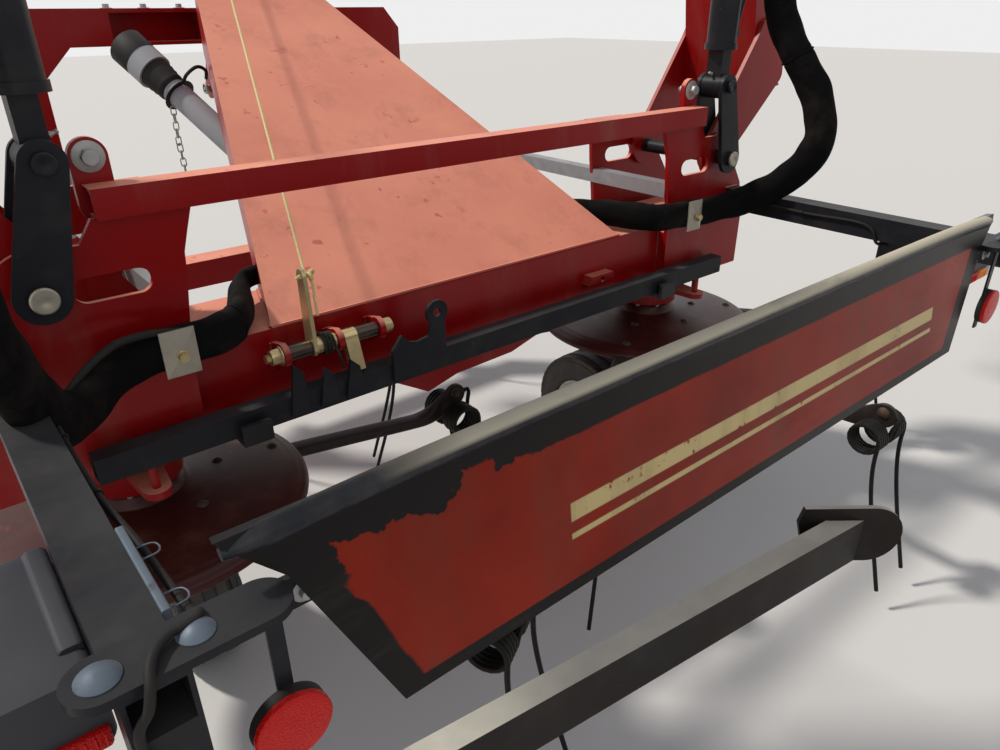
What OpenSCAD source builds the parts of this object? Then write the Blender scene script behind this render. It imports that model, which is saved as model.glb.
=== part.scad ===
// Four-rotor mounted hay tedder, parked with both wings folded up.
// Millimetres. X points right, Y forwards to the tractor, Z up, ground at Z = 0.
// Every module is drawn from the beam's centre, and placed() shifts it to the origin.

/* [Frame] */
// Half length of the main beam
beam_half_l = 1000; // [900:10:1100]
// Depth of the main beam, front to rear
beam_d = 240; // [200:10:280]
// Height of the main beam
beam_h = 210; // [160:10:240]
// Height of the beam's top face above the ground
beam_top = 922; // [880:1:980]
// Wall of the folded sheet bodies
sheet_t = 7; // [4:1:10]
// Centre of the beam behind the origin
beam_behind = 138; // [100:1:220]
// Slope of the tower's top face in degrees
tower_slope = 30.9; // [26:0.1:34]
// Half width of the tower where it meets the beam
tower_base_half = 520; // [440:10:560]
// Half width of the tower at its front end
tower_nose_half = 148; // [120:4:180]
// Front end of the tower, ahead of the beam's centre
tower_front = 1060; // [1000:10:1090]
// Height of the tower's front end
tower_nose_h = 250; // [200:10:280]

/* [Hinges and wings] */
// Half spacing of the wing hinge pins
pin_x = 900; // [860:5:940]
// Height of the wing hinge pins
pin_z = 1100; // [1080:5:1130]
// Radius of a wing hinge pin
pin_r = 20; // [16:1:24]
// Angle a wing is folded up from its working place
fold_angle = 99; // [90:1:104]
// Thickness of the hinge plates
hinge_t = 12; // [8:1:14]
// Side gap between hinge plates that pass each other
hinge_gap = 5; // [5:1:8]
// Running clearance of a pin in its bore, on the radius
run_c = 0.06; // [0.02:0.01:0.1]
// Height of a wing box
wing_box_h = 140; // [120:5:160]
// Distance from the hinge pin to the wing box's inner end
wing_start = 130; // [110:5:150]
// Cross tube between the hinges, side of its square
tube_w = 50; // [40:2:60]
// Height of the cross tube's underside
tube_z = 1200; // [1180:5:1210]
// Half length of the cross tube
tube_half_l = 795; // [760:5:800]
// Sideways place of the headstock's side stops
stop_x = 695; // [690:1:705]
// Height of a side stop's middle
stop_z = 1030; // [1020:1:1040]
// Lower cylinder pin, sideways from the middle
cyl_x = 850; // [840:5:860]
// Lower cylinder pin, height
cyl_z = 1300; // [1290:5:1330]
// Length of a folded cylinder between its pins
cyl_closed = 650; // [600:10:700]
// Outer radius of a cylinder barrel
barrel_r = 40; // [34:1:42]
// Radius of a cylinder rod
rod_r = 20; // [16:1:24]

/* [Rotors] */
// Half spacing of the inner rotors
rotor_x = 810; // [780:5:830]
// Distance from one rotor axis to the next on a side
rotor_pitch = 1620; // [1600:5:1640]
// Radius of a rotor's dished disc
disc_r = 345; // [300:5:380]
// Height of the disc's outer shoulder
disc_z = 575; // [560:5:590]
// Arms on a rotor
arm_count = 6; // [4:2:8]
// Radius at which the spring coils sit
coil_at = 815; // [780:5:840]
// Radius of the circle the tine tips draw
tip_at = 950; // [920:5:960]
// Height of the tine tips above the ground
tip_z = 60; // [40:5:100]
// Radius of the tine wire
wire_r = 4.5; // [4:0.5:6]
// Radius of the steered column below each gear housing
column_r = 35; // [30:1:38]
// Radius of the fixed neck the rotor turns on
neck_r = 60; // [54:1:64]

/* [Wheels] */
// Radius of a tyre
tyre_r = 200; // [180:5:200]
// Width of a tyre
tyre_w = 165; // [140:5:170]
// Sideways place of the wheel from its rotor's axis, towards the middle
wheel_in = 78; // [70:2:90]
// Distance of the axle ahead of the rotor's axis
wheel_ahead = 140; // [120:5:220]
// Radius of a wheel axle
axle_r = 12.5; // [10:0.5:15]

/* [Headstock] */
// Swivel pin ahead of the beam's centre
swivel_y = 1130; // [1120:5:1150]
// Rear face of the headstock arch
arch_y = 1190; // [1185:5:1200]
// Depth of the headstock arch
arch_d = 100; // [80:5:120]
// Outer half width of the headstock arch
arch_half = 660; // [640:5:680]
// Top of the headstock arch
arch_top = 1505; // [1480:5:1520]
// Width of a headstock leg
leg_w = 75; // [60:5:90]
// Height of the lower hitch pins
hitch_z = 640; // [600:5:680]
// Half spacing of the lower hitch pins' shoulders
hitch_half = 412; // [400:1:420]
// Height of the top link pin above the lower hitch pins
mast_h = 610; // [600:5:640]
// Radius of the top link bore
top_bore_r = 12.8; // [12:0.1:16]

/* [Guards] */
// Sideways place of a guard arm
guard_x = 985; // [975:5:1000]
// Side of a guard arm's square tube
guard_w = 60; // [50:2:70]
// Top of the guard arms
guard_z = 1000; // [980:5:1010]
// Rear end of the guard arms behind the beam's centre
guard_back = 960; // [940:5:980]
// Half length of the guard panel along its top edge
panel_half = 906; // [880:2:920]
// Half length of the guard panel along its bottom edge
panel_foot_half = 735; // [700:5:760]
// Top edge of the guard panel above the ground
panel_top = 1070; // [1050:5:1090]
// Bottom edge of the guard panel above the ground
panel_foot = 765; // [750:5:790]
// Sheet thickness of the guard panel
panel_t = 5; // [3:1:8]
// Depth of the rear guard bar's tube
bar_d = 38; // [34:2:50]
// Height of the rear guard bar's tube
bar_h = 92; // [80:2:100]
// Top of the rear guard bar above the ground
bar_top = 660; // [640:5:680]
// Length of the rear guard bar
bar_l = 1096; // [1000:4:1200]

/* [Steering rail] */
// Height of the steering rail
rail_h = 50; // [40:2:56]
// Depth of the steering rail
rail_d = 40; // [36:2:50]
// Steering pin behind the rotor axis
steer_r = 190; // [185:1:195]
// Underside of the steering rail
rail_z = 757; // [750:1:765]
// Half length of the steering rail
rail_half_l = 900; // [880:5:950]

/* [Hidden] */
$fn = 48;

paint = [0.72, 0.04, 0.05];
dark_red = [0.30, 0.03, 0.03];
satin_black = [0.05, 0.05, 0.055];
rubber = [0.10, 0.10, 0.10];
zinc = [0.80, 0.74, 0.50];
steel = [0.62, 0.62, 0.62];
pale_rim = [0.82, 0.80, 0.74];
lamp_grey = [0.35, 0.36, 0.38];
lens_red = [0.85, 0.08, 0.04];
rope_yellow = [0.85, 0.72, 0.35];

seat = 0.3;
beam_bot = beam_top - beam_h;
beam_rear = -beam_d / 2;
tan_slope = tan(tower_slope);
nose_top = beam_top + (tower_front - beam_rear) * tan_slope;

// Planes of the hinge, counted outwards from the beam's face
wing_plate_y = beam_d / 2 + hinge_gap;
bracket_y = wing_plate_y + hinge_t + hinge_gap;
bracket_out = bracket_y + hinge_t;

// Cylinder plane and the widths of its eyes
cyl_y = -(bracket_y + 10);
eye_half = 30;
link_gap = 2;
rod_eye_half = 20;

// Placing

module placed() {
    translate([0, -beam_behind, 0]) children();
}

module on_side(side) {
    if (side < 0) mirror([1, 0, 0]) children();
    else children();
}

// A wing drawn in its working place, turned up about its hinge pin
module folded(side) {
    on_side(side) translate([pin_x, 0, pin_z]) rotate([0, -fold_angle, 0])
        translate([-pin_x, 0, -pin_z]) children();
}

// Plain shapes

module box(x, y, z) {
    translate([x[0], y[0], z[0]]) cube([x[1] - x[0], y[1] - y[0], z[1] - z[0]]);
}

module rod_along_x(x, y, z, r) {
    translate([x[0], y, z]) rotate([0, 90, 0]) cylinder(h = x[1] - x[0], r = r);
}

module rod_along_y(x, y, z, r) {
    translate([x, y[0], z]) rotate([-90, 0, 0]) cylinder(h = y[1] - y[0], r = r);
}

// An outline in X and Z, as thick as the range y
module plate_xz(y) {
    translate([0, y[1], 0]) rotate([90, 0, 0]) linear_extrude(y[1] - y[0]) children();
}

// An outline in Y and Z, as thick as the range x
module plate_yz(x) {
    translate([x[0], 0, 0]) rotate([90, 0, 90]) linear_extrude(x[1] - x[0]) children();
}

// Two rounds joined by their common tangents
module strap(p, rp, q, rq) {
    d = norm(q - p);
    a = atan2(q[1] - p[1], q[0] - p[0]);
    b = acos((rp - rq) / d);
    translate(p) circle(rp);
    translate(q) circle(rq);
    polygon([p + rp * [cos(a + b), sin(a + b)], q + rq * [cos(a + b), sin(a + b)],
        q + rq * [cos(a - b), sin(a - b)], p + rp * [cos(a - b), sin(a - b)]]);
}

// A slot along X with rounded ends
module slot(c, l, w) {
    translate(c) square([l - w, w], center = true);
    for (s = [-1, 1]) translate(c + [s * (l - w) / 2, 0]) circle(w / 2);
}

// A straight round bar between two points
module bar3(p, q, r, sides = 8) {
    v = q - p;
    translate(p) rotate([0, acos(v[2] / norm(v)), atan2(v[1], v[0])])
        cylinder(h = norm(v), r = r, $fn = sides);
}

// Hollow square tube along X
module square_tube_x(x, y, z, t) {
    difference() {
        box(x, y, z);
        box([x[0] - 1, x[1] + 1], [y[0] + t, y[1] - t], [z[0] + t, z[1] - t]);
    }
}

// Hollow square tube along Y
module square_tube_y(x, y, z, t) {
    difference() {
        box(x, y, z);
        box([x[0] + t, x[1] - t], [y[0] - 1, y[1] + 1], [z[0] + t, z[1] - t]);
    }
}

// A swept round tube: rings of points across a polyline, joined into one closed skin
function path_dir(p, i) = let (a = p[max(i - 1, 0)], b = p[min(i + 1, len(p) - 1)])
    (b - a) / norm(b - a);
function path_ring(p, i, r, n) =
    let (t = path_dir(p, i), u0 = abs(t[2]) < 0.9 ? cross(t, [0, 0, 1]) : cross(t, [1, 0, 0]),
        u = u0 / norm(u0), v = cross(t, u))
    [for (k = [0:n - 1]) p[i] + r * (cos(360 * k / n) * u + sin(360 * k / n) * v)];
module swept_tube(p, r, n) {
    rings = len(p);
    points = [for (i = [0:rings - 1]) each path_ring(p, i, r, n)];
    skin = [for (i = [0:rings - 2], k = [0:n - 1])
        [i * n + k, (i + 1) * n + k, (i + 1) * n + (k + 1) % n, i * n + (k + 1) % n]];
    caps = [[for (k = [0:n - 1]) k], [for (k = [n - 1:-1:0]) (rings - 1) * n + k]];
    polyhedron(points, concat(skin, caps));
}

// Frame

beam_cap_hole = 40;

module beam() color(paint) placed() {
    difference() {
        box([-beam_half_l, beam_half_l], [beam_rear, -beam_rear], [beam_bot, beam_top]);
        box([-beam_half_l + sheet_t, beam_half_l - sheet_t],
            [beam_rear + sheet_t, -beam_rear - sheet_t], [beam_bot + sheet_t, beam_top - sheet_t]);
        rod_along_x([-beam_half_l - 1, beam_half_l + 1], 0, beam_bot + beam_h / 2, beam_cap_hole);
    }
    // Curved web under the middle of the beam's rear face
    plate_xz([beam_rear, beam_rear + 12])
        polygon([[-250, beam_bot], [-150, beam_bot - 60], [-60, beam_bot - 38],
            [120, beam_bot - 32], [236, beam_bot]]);
}

// Side outline of the tower, grown inwards by the wall t
module tower_side(t) {
    y0 = beam_rear + t / tan_slope * 1.2;
    low = beam_top + t;
    polygon([[beam_rear + 2.9 * t, low], [tower_front + (t > 0 ? 1 : 0), nose_top - 1.25 * t],
        [tower_front + (t > 0 ? 1 : 0), nose_top - tower_nose_h + 1.2 * t], [-beam_rear, low]]);
}

// Plan outline of the tower, grown inwards by the wall t
module tower_plan(t) {
    front = tower_front + (t > 0 ? 2 : 0);
    polygon([[-tower_base_half + t, beam_rear - 1], [tower_base_half - t, beam_rear - 1],
        [tower_nose_half - t, front], [-tower_nose_half + t, front]]);
}

module tower_body(t) {
    intersection() {
        plate_yz([-tower_base_half, tower_base_half]) tower_side(t);
        translate([0, 0, beam_top - 10]) linear_extrude(nose_top) tower_plan(t);
    }
}

hose_hole = [-465, 60, 978];
ear_r = 52;
nose_ears = [[nose_top - 30, nose_top - 5], [nose_top - 215, nose_top - 190]];
rope_ring_r = 24;
rope_end = [-60, tower_front - 7, nose_top + 86];

module tower() color(paint) placed() {
    difference() {
        tower_body(0);
        tower_body(sheet_t);
        for (s = [-1, 1]) translate([s * hose_hole[0], hose_hole[1], hose_hole[2]])
            rotate([0, 90, 0]) cylinder(h = 160, r = 28, center = true);
    }
    // End plate, swivel ears and the swivel pin
    difference() {
        box([-tower_nose_half, tower_nose_half], [tower_front - 14, tower_front],
            [nose_top - tower_nose_h, nose_top - 20]);
        rod_along_y(0, [tower_front - 15, tower_front + 1], nose_top - tower_nose_h / 2, 25);
    }
    for (z = nose_ears) {
        translate([0, swivel_y, z[0]]) cylinder(h = z[1] - z[0], r = ear_r);
        box([-ear_r, ear_r], [tower_front - 2, swivel_y], z);
    }
    translate([0, swivel_y, nose_ears[1][0]]) cylinder(h = nose_ears[0][1] - nose_ears[1][0], r = 30);
    // Hose and rope holder
    bar3([-40, tower_front - 7, nose_top - 40], rope_end - [0, 0, rope_ring_r], 6, 24);
    translate(rope_end) rotate([90, 0, 0])
        rotate_extrude() translate([rope_ring_r, 0]) circle(7, $fn = 24);
}

module cross_tube() color(paint) placed() {
    y = [-bracket_out - 20, -bracket_out - 20 + tube_w];
    square_tube_x([-tube_half_l, tube_half_l], y, [tube_z, tube_z + tube_w], 5);
    ear_x = tube_half_l - 20;
    for (s = [-1, 1]) on_side(s) difference() {
        plate_xz([y[1], y[1] + 14]) strap([ear_x, tube_z + 15], 30, [ear_x, cyl_z - 8], 30);
        rod_along_y(ear_x, [y[1] - 1, y[1] + 15], cyl_z - 8, 9);
    }
}

module bracket_outline() {
    difference() {
        union() {
            polygon([[640, tube_z], [tube_half_l + 5, tube_z], [825, pin_z + 62], [pin_x, pin_z + 64],
                [pin_x + 64, pin_z], [1030, 1010], [1060, 900], [1060, 745], [690, 745], [690, 915],
                [680, 1000], [669, 1080], [666, 1120], [655, 1155]]);
            translate([pin_x, pin_z]) circle(66);
        }
        translate([pin_x, pin_z]) circle(pin_r + run_c);
        slot([790, 1086], 125, 44);
    }
}

module hinge_brackets() color(paint) placed() for (s = [-1, 1]) on_side(s) {
    for (f = [-1, 1]) {
        y = f < 0 ? [-bracket_out, -bracket_y] : [bracket_y, bracket_out];
        difference() {
            plate_xz(y) bracket_outline();
            if (f > 0) box([stop_x - stop_w / 2, stop_x + stop_w / 2], [y[0] - 1, y[1] + 1],
                [stop_z - stop_w / 2, stop_z + stop_w / 2]);
        }
        pad = f < 0 ? [-bracket_y, beam_rear] : [-beam_rear, bracket_y];
        box([690, 770], pad, [750, 905]);
    }
}

// Galvanised tubes from the brackets forward, whose pads limit the headstock's swing
stop_w = 40;
stop_front = arch_y - 128;

module side_stops() color(zinc) placed() for (s = [-1, 1]) on_side(s) {
    square_tube_y([stop_x - stop_w / 2, stop_x + stop_w / 2], [-bracket_y, stop_front],
        [stop_z - stop_w / 2, stop_z + stop_w / 2], 4);
    plate_xz([stop_front, stop_front + 10]) strap([stop_x, stop_z], 36, [arch_half - 38, stop_z], 36);
    rod_along_y(arch_half - 38, [stop_front + 10, stop_front + 24], stop_z, 26);
}

module hinge_links() color(satin_black) placed() for (s = [-1, 1]) on_side(s) {
    rear_in = cyl_y - eye_half - link_gap;
    front_in = cyl_y + eye_half + link_gap;
    for (y = [[rear_in - hinge_t, rear_in], [front_in, front_in + hinge_t]])
        plate_xz(y) strap([pin_x, pin_z], 42, [cyl_x, cyl_z], 34);
    rod_along_y(pin_x, [rear_in - hinge_t - 9, bracket_out + 11], pin_z, pin_r);
    rod_along_y(cyl_x, [rear_in - hinge_t - 9, front_in + hinge_t + 9], cyl_z, 15);
}

// A rotor's gear housing and neck about its own axis, up to the height top
arm_slot = [684, 712];

module gear_housing(top) {
    difference() {
        union() {
            translate([0, 0, 640]) cylinder(h = top - 640, r = 95);
            translate([0, 0, disc_z - 13]) cylinder(h = 90, r = neck_r);
        }
        translate([0, 0, disc_z - 14]) cylinder(h = arm_slot[1] - disc_z + 14, r = column_r + run_c);
        box([-62, 62], [-120, 52], arm_slot);
    }
}

module gear_housings() color(paint) placed() for (s = [-1, 1])
    on_side(s) translate([rotor_x, 0, 0]) gear_housing(beam_bot);

gearbox_in = [0, 300, 781];

module centre_gearbox() color(paint) placed() {
    box([-130, 130], [-beam_rear, gearbox_in[1] - 60], [beam_bot + 5, beam_top - 70]);
    translate([0, gearbox_in[1] - 60, gearbox_in[2]]) rotate([-90, 0, 0]) cylinder(h = 60, r = 60);
}

shaft_end = [-350, 1040, 1375];
socket_r = 17.5;
socket_l = 90;

// The shaft runs to its far yoke, whose socket takes the tractor's stub
module drive_shaft() color(steel) placed() {
    v = shaft_end - gearbox_in;
    u = v / norm(v);
    rod_along_y(0, [gearbox_in[1], gearbox_in[1] + 80], gearbox_in[2], 30);
    bar3(gearbox_in + [0, 60, 0], gearbox_in + 150 * u, 45, 32);
    bar3(gearbox_in + 140 * u, shaft_end - 50 * u, 36, 32);
    difference() {
        bar3(shaft_end - 70 * u, shaft_end + 50 * u, 54, 48);
        bar3(shaft_end - 50 * u, shaft_end + 51 * u, 49, 48);
    }
    difference() {
        bar3(shaft_end - 60 * u, shaft_end + 45 * u, 30, 48);
        bar3(shaft_end + (45 - socket_l) * u, shaft_end + 46 * u, socket_r, 48);
    }
}

// Guards

arm_x = [guard_x - guard_w / 2, guard_x + guard_w / 2];
strap_y = -guard_back + 29;
strap_end = panel_half - 26;
module guard_arms() color(satin_black) placed() for (s = [-1, 1]) on_side(s) {
    difference() {
        union() {
            box(arm_x, [-guard_back, -bracket_out], [guard_z - guard_w, guard_z]);
            if (s < 0) box(arm_x, [-guard_back, -guard_back + 80], [bar_top - bar_h - 8, guard_z - guard_w]);
        }
        box([arm_x[0] + 5, arm_x[1] - 5], [-guard_back - 1, -bracket_out + 1],
            [guard_z - guard_w + 5, guard_z - 5]);
    }
}

module guard_panel() color(satin_black) placed() {
    top_y = -guard_back + 68;
    foot_y = -guard_back + 25;
    intersection() {
        plate_yz([-panel_half, panel_half]) polygon([[top_y, panel_top], [top_y - 14, panel_top + 2],
            [top_y - 20, panel_top - 12], [foot_y - 10, panel_foot + 20], [foot_y + 20, panel_foot],
            [foot_y + 20, panel_foot + panel_t], [foot_y - 4, panel_foot + 22],
            [top_y - 12, panel_top - 16]]);
        plate_xz([-1000, -800]) polygon([[-panel_foot_half, panel_foot - 1], [panel_foot_half, panel_foot - 1],
            [panel_half - 60, panel_top - 60], [panel_half, panel_top + 3], [-panel_half, panel_top + 3],
            [-panel_half + 60, panel_top - 60]]);
    }
}

module guard_straps() color(satin_black) placed() for (s = [-1, 1]) on_side(s) {
    translate([0, 0, guard_z]) linear_extrude(10)
        strap([guard_x + 35, strap_y], 30, [strap_end, strap_y], 30);
    box([strap_end - 80, strap_end + 5], [strap_y + 20, strap_y + 28], [guard_z - 40, guard_z]);
    box([strap_end - 12, strap_end + 5], [strap_y - 14, strap_y + 28], [guard_z - 6, guard_z]);
    box([strap_end - 12, strap_end + 5], [strap_y - 14, strap_y - 10], [guard_z - 190, guard_z]);
}

module lamp_boxes() color(lamp_grey) placed() for (s = [-1, 1]) on_side(s)
    box([arm_x[1], arm_x[1] + 185], [-guard_back + 107, -guard_back + 342], [guard_z - 145, guard_z - 50]);

module reflectors() color(lens_red) placed() for (s = [-1, 1]) on_side(s)
    rod_along_y(strap_end, [strap_y - 26, strap_y - 14], guard_z - 134, 40);

// The bar runs rearwards from the left arm's post and ends on an oblique plate
bar_from = [-arm_x[0] + 2.5, -guard_back + 53];
bar_yaw = 7;
bar_cut = 32.5;

module bar_plate_outline() {
    translate([52, bar_h - 33]) circle(60);
    polygon([[-76, bar_h + 26], [52, bar_h + 27], [52, bar_h - 93], [-60, bar_h - 93], [-84, bar_h - 6]]);
}

module rear_bar() color(satin_black) placed() {
    translate([bar_from[0], bar_from[1], bar_top - bar_h]) rotate([0, 0, -bar_yaw]) {
        difference() {
            box([0, bar_l + bar_d], [-bar_d / 2, bar_d / 2], [0, bar_h]);
            box([-1, bar_l + bar_d + 1], [4 - bar_d / 2, bar_d / 2 - 4], [4, bar_h - 4]);
            translate([bar_l, 0, 0]) rotate([0, 0, -bar_cut]) box([-200, 200], [0, 200], [-1, bar_h + 1]);
        }
        translate([bar_l, 0, 0]) rotate([0, 0, -bar_cut]) plate_xz([0, 10]) bar_plate_outline();
    }
}

// Steering rail and latch

rail_y = [-steer_r - rail_d / 2, -steer_r + rail_d / 2];

// Rail with a slot under it at each steering pin x
module rail(x, pins) {
    difference() {
        box(x, rail_y, [rail_z, rail_z + rail_h]);
        box([x[0] - 1, x[1] + 1], [rail_y[0] + 4, rail_y[1] - 4], [rail_z + 4, rail_z + rail_h - 4]);
        for (p = pins) box([p - 8.7, p + 8.7], [-steer_r - 14, -steer_r + 14], [rail_z - 1, rail_z + 5]);
    }
}

rail_tabs = [[-520, 70], [-455, 45], [-395, 45]];

module steering_rail() color(satin_black) placed() {
    rail([-rail_half_l, rail_half_l], [-rotor_x, rotor_x]);
    for (t = rail_tabs) plate_xz([rail_y[0] - 8, rail_y[0]])
        polygon([[t[0] - 22, rail_z + 10], [t[0] + 22, rail_z + 10], [t[0] + 14, rail_z + rail_h + t[1] - 20],
            [t[0] - 6, rail_z + rail_h + t[1]]]);
    // Hook plate with its curled top
    plate_xz([rail_y[0] - 8, rail_y[0]]) difference() {
        union() {
            polygon([[-300, rail_z + 8], [-160, rail_z + 8], [-160, 900], [-195, 900], [-205, 850],
                [-235, 845], [-255, 850], [-275, 870], [-300, 840]]);
            translate([-180, 900]) circle(28);
        }
        translate([-180, 900]) circle(10);
    }
}

module rail_guides(x) {
    for (p = x) {
        box([p - 30, p + 30], [rail_y[0] - 12, beam_rear], [rail_z - 12, rail_z - seat]);
        box([p - 30, p + 30], [rail_y[0] - 24, rail_y[0] - 12], [rail_z - 12, rail_z + 30]);
    }
}

latch_y = -165;
latch_z = 880;
lever_top = [-158, 1030];
lever_x = [-462, -454];
rope_start = [lever_x[1] + 3.4, lever_top[0], lever_top[1]];

module latch_bracket() color(paint) placed() {
    for (x = [-520, -400, -300]) plate_yz([x - 6, x + 6]) {
        translate([latch_y, latch_z]) circle(24);
        polygon([[beam_rear, 832], [beam_rear, 894], [latch_y + 3, latch_z + 23], [latch_y - 12, latch_z - 20]]);
    }
    rod_along_x([-545, -275], latch_y, latch_z, 9);
    rail_guides([-620, 620]);
    plate_xz([beam_rear - 30, beam_rear]) difference() {
        polygon([[375, 812], [480, 812], [470, 836], [385, 836]]);
        translate([428, 822]) circle(8);
    }
}

module latch_lever() color(zinc) placed() {
    plate_yz(lever_x) difference() {
        strap([latch_y, latch_z], 20, lever_top, 15);
        translate([latch_y, latch_z]) circle(9 + run_c);
        translate(lever_top) circle(6);
    }
    difference() {
        rod_along_x([lever_x[1], -408], latch_y, latch_z, 17);
        rod_along_x([-460, -400], latch_y, latch_z, 9 + run_c);
    }
    plate_yz([-390, -360]) difference() {
        union() {
            translate([latch_y, latch_z]) circle(17);
            polygon([[latch_y - 17, latch_z], [latch_y + 5, latch_z - 10], [rail_y[0] + 22, rail_z + rail_h + 8],
                [rail_y[0] + 6, rail_z + rail_h + 8]]);
        }
        translate([latch_y, latch_z]) circle(9 + run_c);
    }
}

module pull_rope() color(rope_yellow) placed()
    bar3(rope_start, rope_end, 3, 8);

// Hose sleeves from the tower's sides to the hinges, lying on the beam
hose_r = 24;
hose_route = [[435, 60, 978], [478, 60, 977], [508, 40, 968], [540, -10, 951], [580, -60, 946.2],
    [640, -88, 946.2], [700, -86, 946.2], [770, -84, 950], [830, -84, 962], [880, -84, 985]];

module hoses() color(rubber) placed() for (s = [-1, 1]) on_side(s)
    swept_tube(hose_route, hose_r, 10);

// Headstock

module stand_hole() {
    w = stand_w / 2 + stand_gap;
    box([stand_x - w, stand_x + w], [stand_y - w, stand_y + w], [hitch_z - 60, hitch_z + 170]);
}

module headstock() color(paint) placed() {
    y = [arch_y, arch_y + arch_d];
    difference() {
        plate_xz(y) difference() {
            polygon([[-arch_half, hitch_z - 50], [-arch_half, arch_top - 70], [-arch_half + 60, arch_top],
                [arch_half - 60, arch_top], [arch_half, arch_top - 70], [arch_half, hitch_z - 50]]);
            inner = arch_half - leg_w;
            polygon([[-inner, hitch_z + 45], [-inner, 1310], [-inner + 90, 1400], [inner - 90, 1400],
                [inner, 1310], [inner, hitch_z + 45]]);
        }
        // Open rear of the crossbeam, and the hollow legs
        for (s = [-1, 1]) on_side(s) {
            box([90, 370], [y[0] - 1, y[1] - 12], [1410, arch_top - 12]);
            box([arch_half - leg_w + 8, arch_half - 8], [y[0] + 8, y[1] - 8], [hitch_z - 51, 1290]);
            box([-1, arch_half - leg_w - 100], [y[0] + 8, y[1] - 8], [hitch_z - 42, hitch_z + 37]);
            stand_hole();
        }
    }
    // Sleeves that hold the parking stands
    for (s = [-1, 1]) on_side(s) difference() {
        box([stand_x - stand_w / 2 - 8, arch_half - leg_w + 4], [stand_y - stand_w / 2 - 8, stand_y + stand_w / 2 + 8],
            [hitch_z + 40, hitch_z + 160]);
        stand_hole();
    }
    // Swivel knuckle
    zk = [nose_ears[1][1] + 1, nose_ears[0][0] - 1];
    difference() {
        union() {
            translate([0, swivel_y, zk[0]]) cylinder(h = zk[1] - zk[0], r = 55);
            box([-45, 45], [swivel_y, y[0] + 12], [zk[0], arch_top - 5]);
            box([-45, 45], [y[0] + 1, y[1]], [zk[0], arch_top + 30]);
        }
        translate([0, swivel_y, zk[0] - 1]) cylinder(h = zk[1] - zk[0] + 2, r = 30 + run_c);
    }
    // Lower hitch clevises and their pins
    for (s = [-1, 1]) on_side(s) {
        plate_yz([hitch_half - 20, hitch_half])
            strap([y[0] + 40, hitch_z + 5], 45, [y[1] + 60, hitch_z], 38);
        rod_along_x([hitch_half - 30, hitch_half + 75], y[1] + 60, hitch_z, 14.3);
    }
    // Top link ears
    for (s = [-1, 1]) plate_yz(s < 0 ? [-52, -34] : [34, 52]) difference() {
        strap([y[0] + 50, 1400], 48, [y[1] + 45, hitch_z + mast_h], 34);
        translate([y[1] + 45, hitch_z + mast_h]) circle(top_bore_r);
    }
}

// Parking stands beside the inner sides of the headstock legs
stand_x = 535;
stand_y = 1240;
stand_w = 50;
stand_gap = 0.5;

module stand(side) color(steel) placed() on_side(side) {
    box([stand_x - stand_w / 2, stand_x + stand_w / 2], [stand_y - stand_w / 2, stand_y + stand_w / 2],
        [10, 900]);
    box([stand_x - 70, stand_x + 70], [stand_y - 70, stand_y + 70], [0, 10]);
}

// Wing, drawn in its working place on the right

wing_box_top = beam_top - 20;
wing_box_bot = wing_box_top - wing_box_h;
outer_x = rotor_x + rotor_pitch;
wing_half_d = wing_plate_y;

// Where the rod's eye sits in the working place: the folded eye turned back about the hinge pin
eye_folded = [cyl_x - pin_x, cyl_z + cyl_closed - pin_z];
eye_work = [pin_x + eye_folded[0] * cos(fold_angle) + eye_folded[1] * sin(fold_angle),
    pin_z - eye_folded[0] * sin(fold_angle) + eye_folded[1] * cos(fold_angle)];

module wing_plate_outline() {
    x0 = pin_x + wing_start;
    difference() {
        union() {
            strap([pin_x, pin_z], 58, [x0 + 160, wing_box_top - 60], 45);
            strap([pin_x, pin_z], 58, [x0 + 40, wing_box_bot + 30], 30);
            polygon([[pin_x + 20, pin_z + 20], [x0 + 200, wing_box_top - 30], [x0 + 200, wing_box_bot],
                [x0 + 40, wing_box_bot], [pin_x, pin_z - 20]]);
        }
        translate([pin_x, pin_z]) circle(pin_r + run_c);
    }
}

module wing_lug() {
    y = [cyl_y - rod_eye_half - link_gap - hinge_t, cyl_y + rod_eye_half + link_gap + hinge_t];
    for (p = [[y[0], y[0] + hinge_t], [y[1] - hinge_t, y[1]]])
        plate_xz(p) union() {
            strap(eye_work, 30, [eye_work[0] + 10, wing_box_top + 40], 48);
            translate([eye_work[0] - 58, wing_box_top]) square([116, 40]);
        }
    box([eye_work[0] - 58, eye_work[0] + 58], [y[0], -60], [wing_box_top, wing_box_top + 12]);
    rod_along_y(eye_work[0], [y[0] - 9, y[0]], eye_work[1], 17);
    rod_along_y(eye_work[0], [y[1], y[1] + 9], eye_work[1], 17);
}

module wing_body() {
    x = [pin_x + wing_start, outer_x + 110];
    difference() {
        box(x, [-wing_half_d, wing_half_d], [wing_box_bot, wing_box_top]);
        box([x[0] - 1, x[1] - sheet_t], [-wing_half_d + sheet_t, wing_half_d - sheet_t],
            [wing_box_bot + sheet_t, wing_box_top - sheet_t]);
    }
    for (y = [[-wing_plate_y - hinge_t, -wing_plate_y], [wing_plate_y, wing_plate_y + hinge_t]])
        plate_xz(y) wing_plate_outline();
    translate([outer_x, 0, 0]) gear_housing(wing_box_bot);
    wing_lug();
    for (p = [1620, 2260]) {
        box([p - 30, p + 30], [rail_y[0] - 12, -wing_half_d], [rail_z - 12, rail_z - seat]);
        box([p - 30, p + 30], [-wing_half_d - 5, -wing_half_d], [rail_z - 12, wing_box_bot + 40]);
        box([p - 30, p + 30], [rail_y[0] - 24, rail_y[0] - 12], [rail_z - 12, rail_z + 30]);
    }
}

module wing(side) color(paint) placed() folded(side) wing_body();

module wing_rail(side) color(satin_black) placed() folded(side) rail([1540, outer_x + 60], [outer_x]);

// Cylinders, drawn standing in their folded place on the right

barrel_from = 95;
barrel_to = 480;

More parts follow.
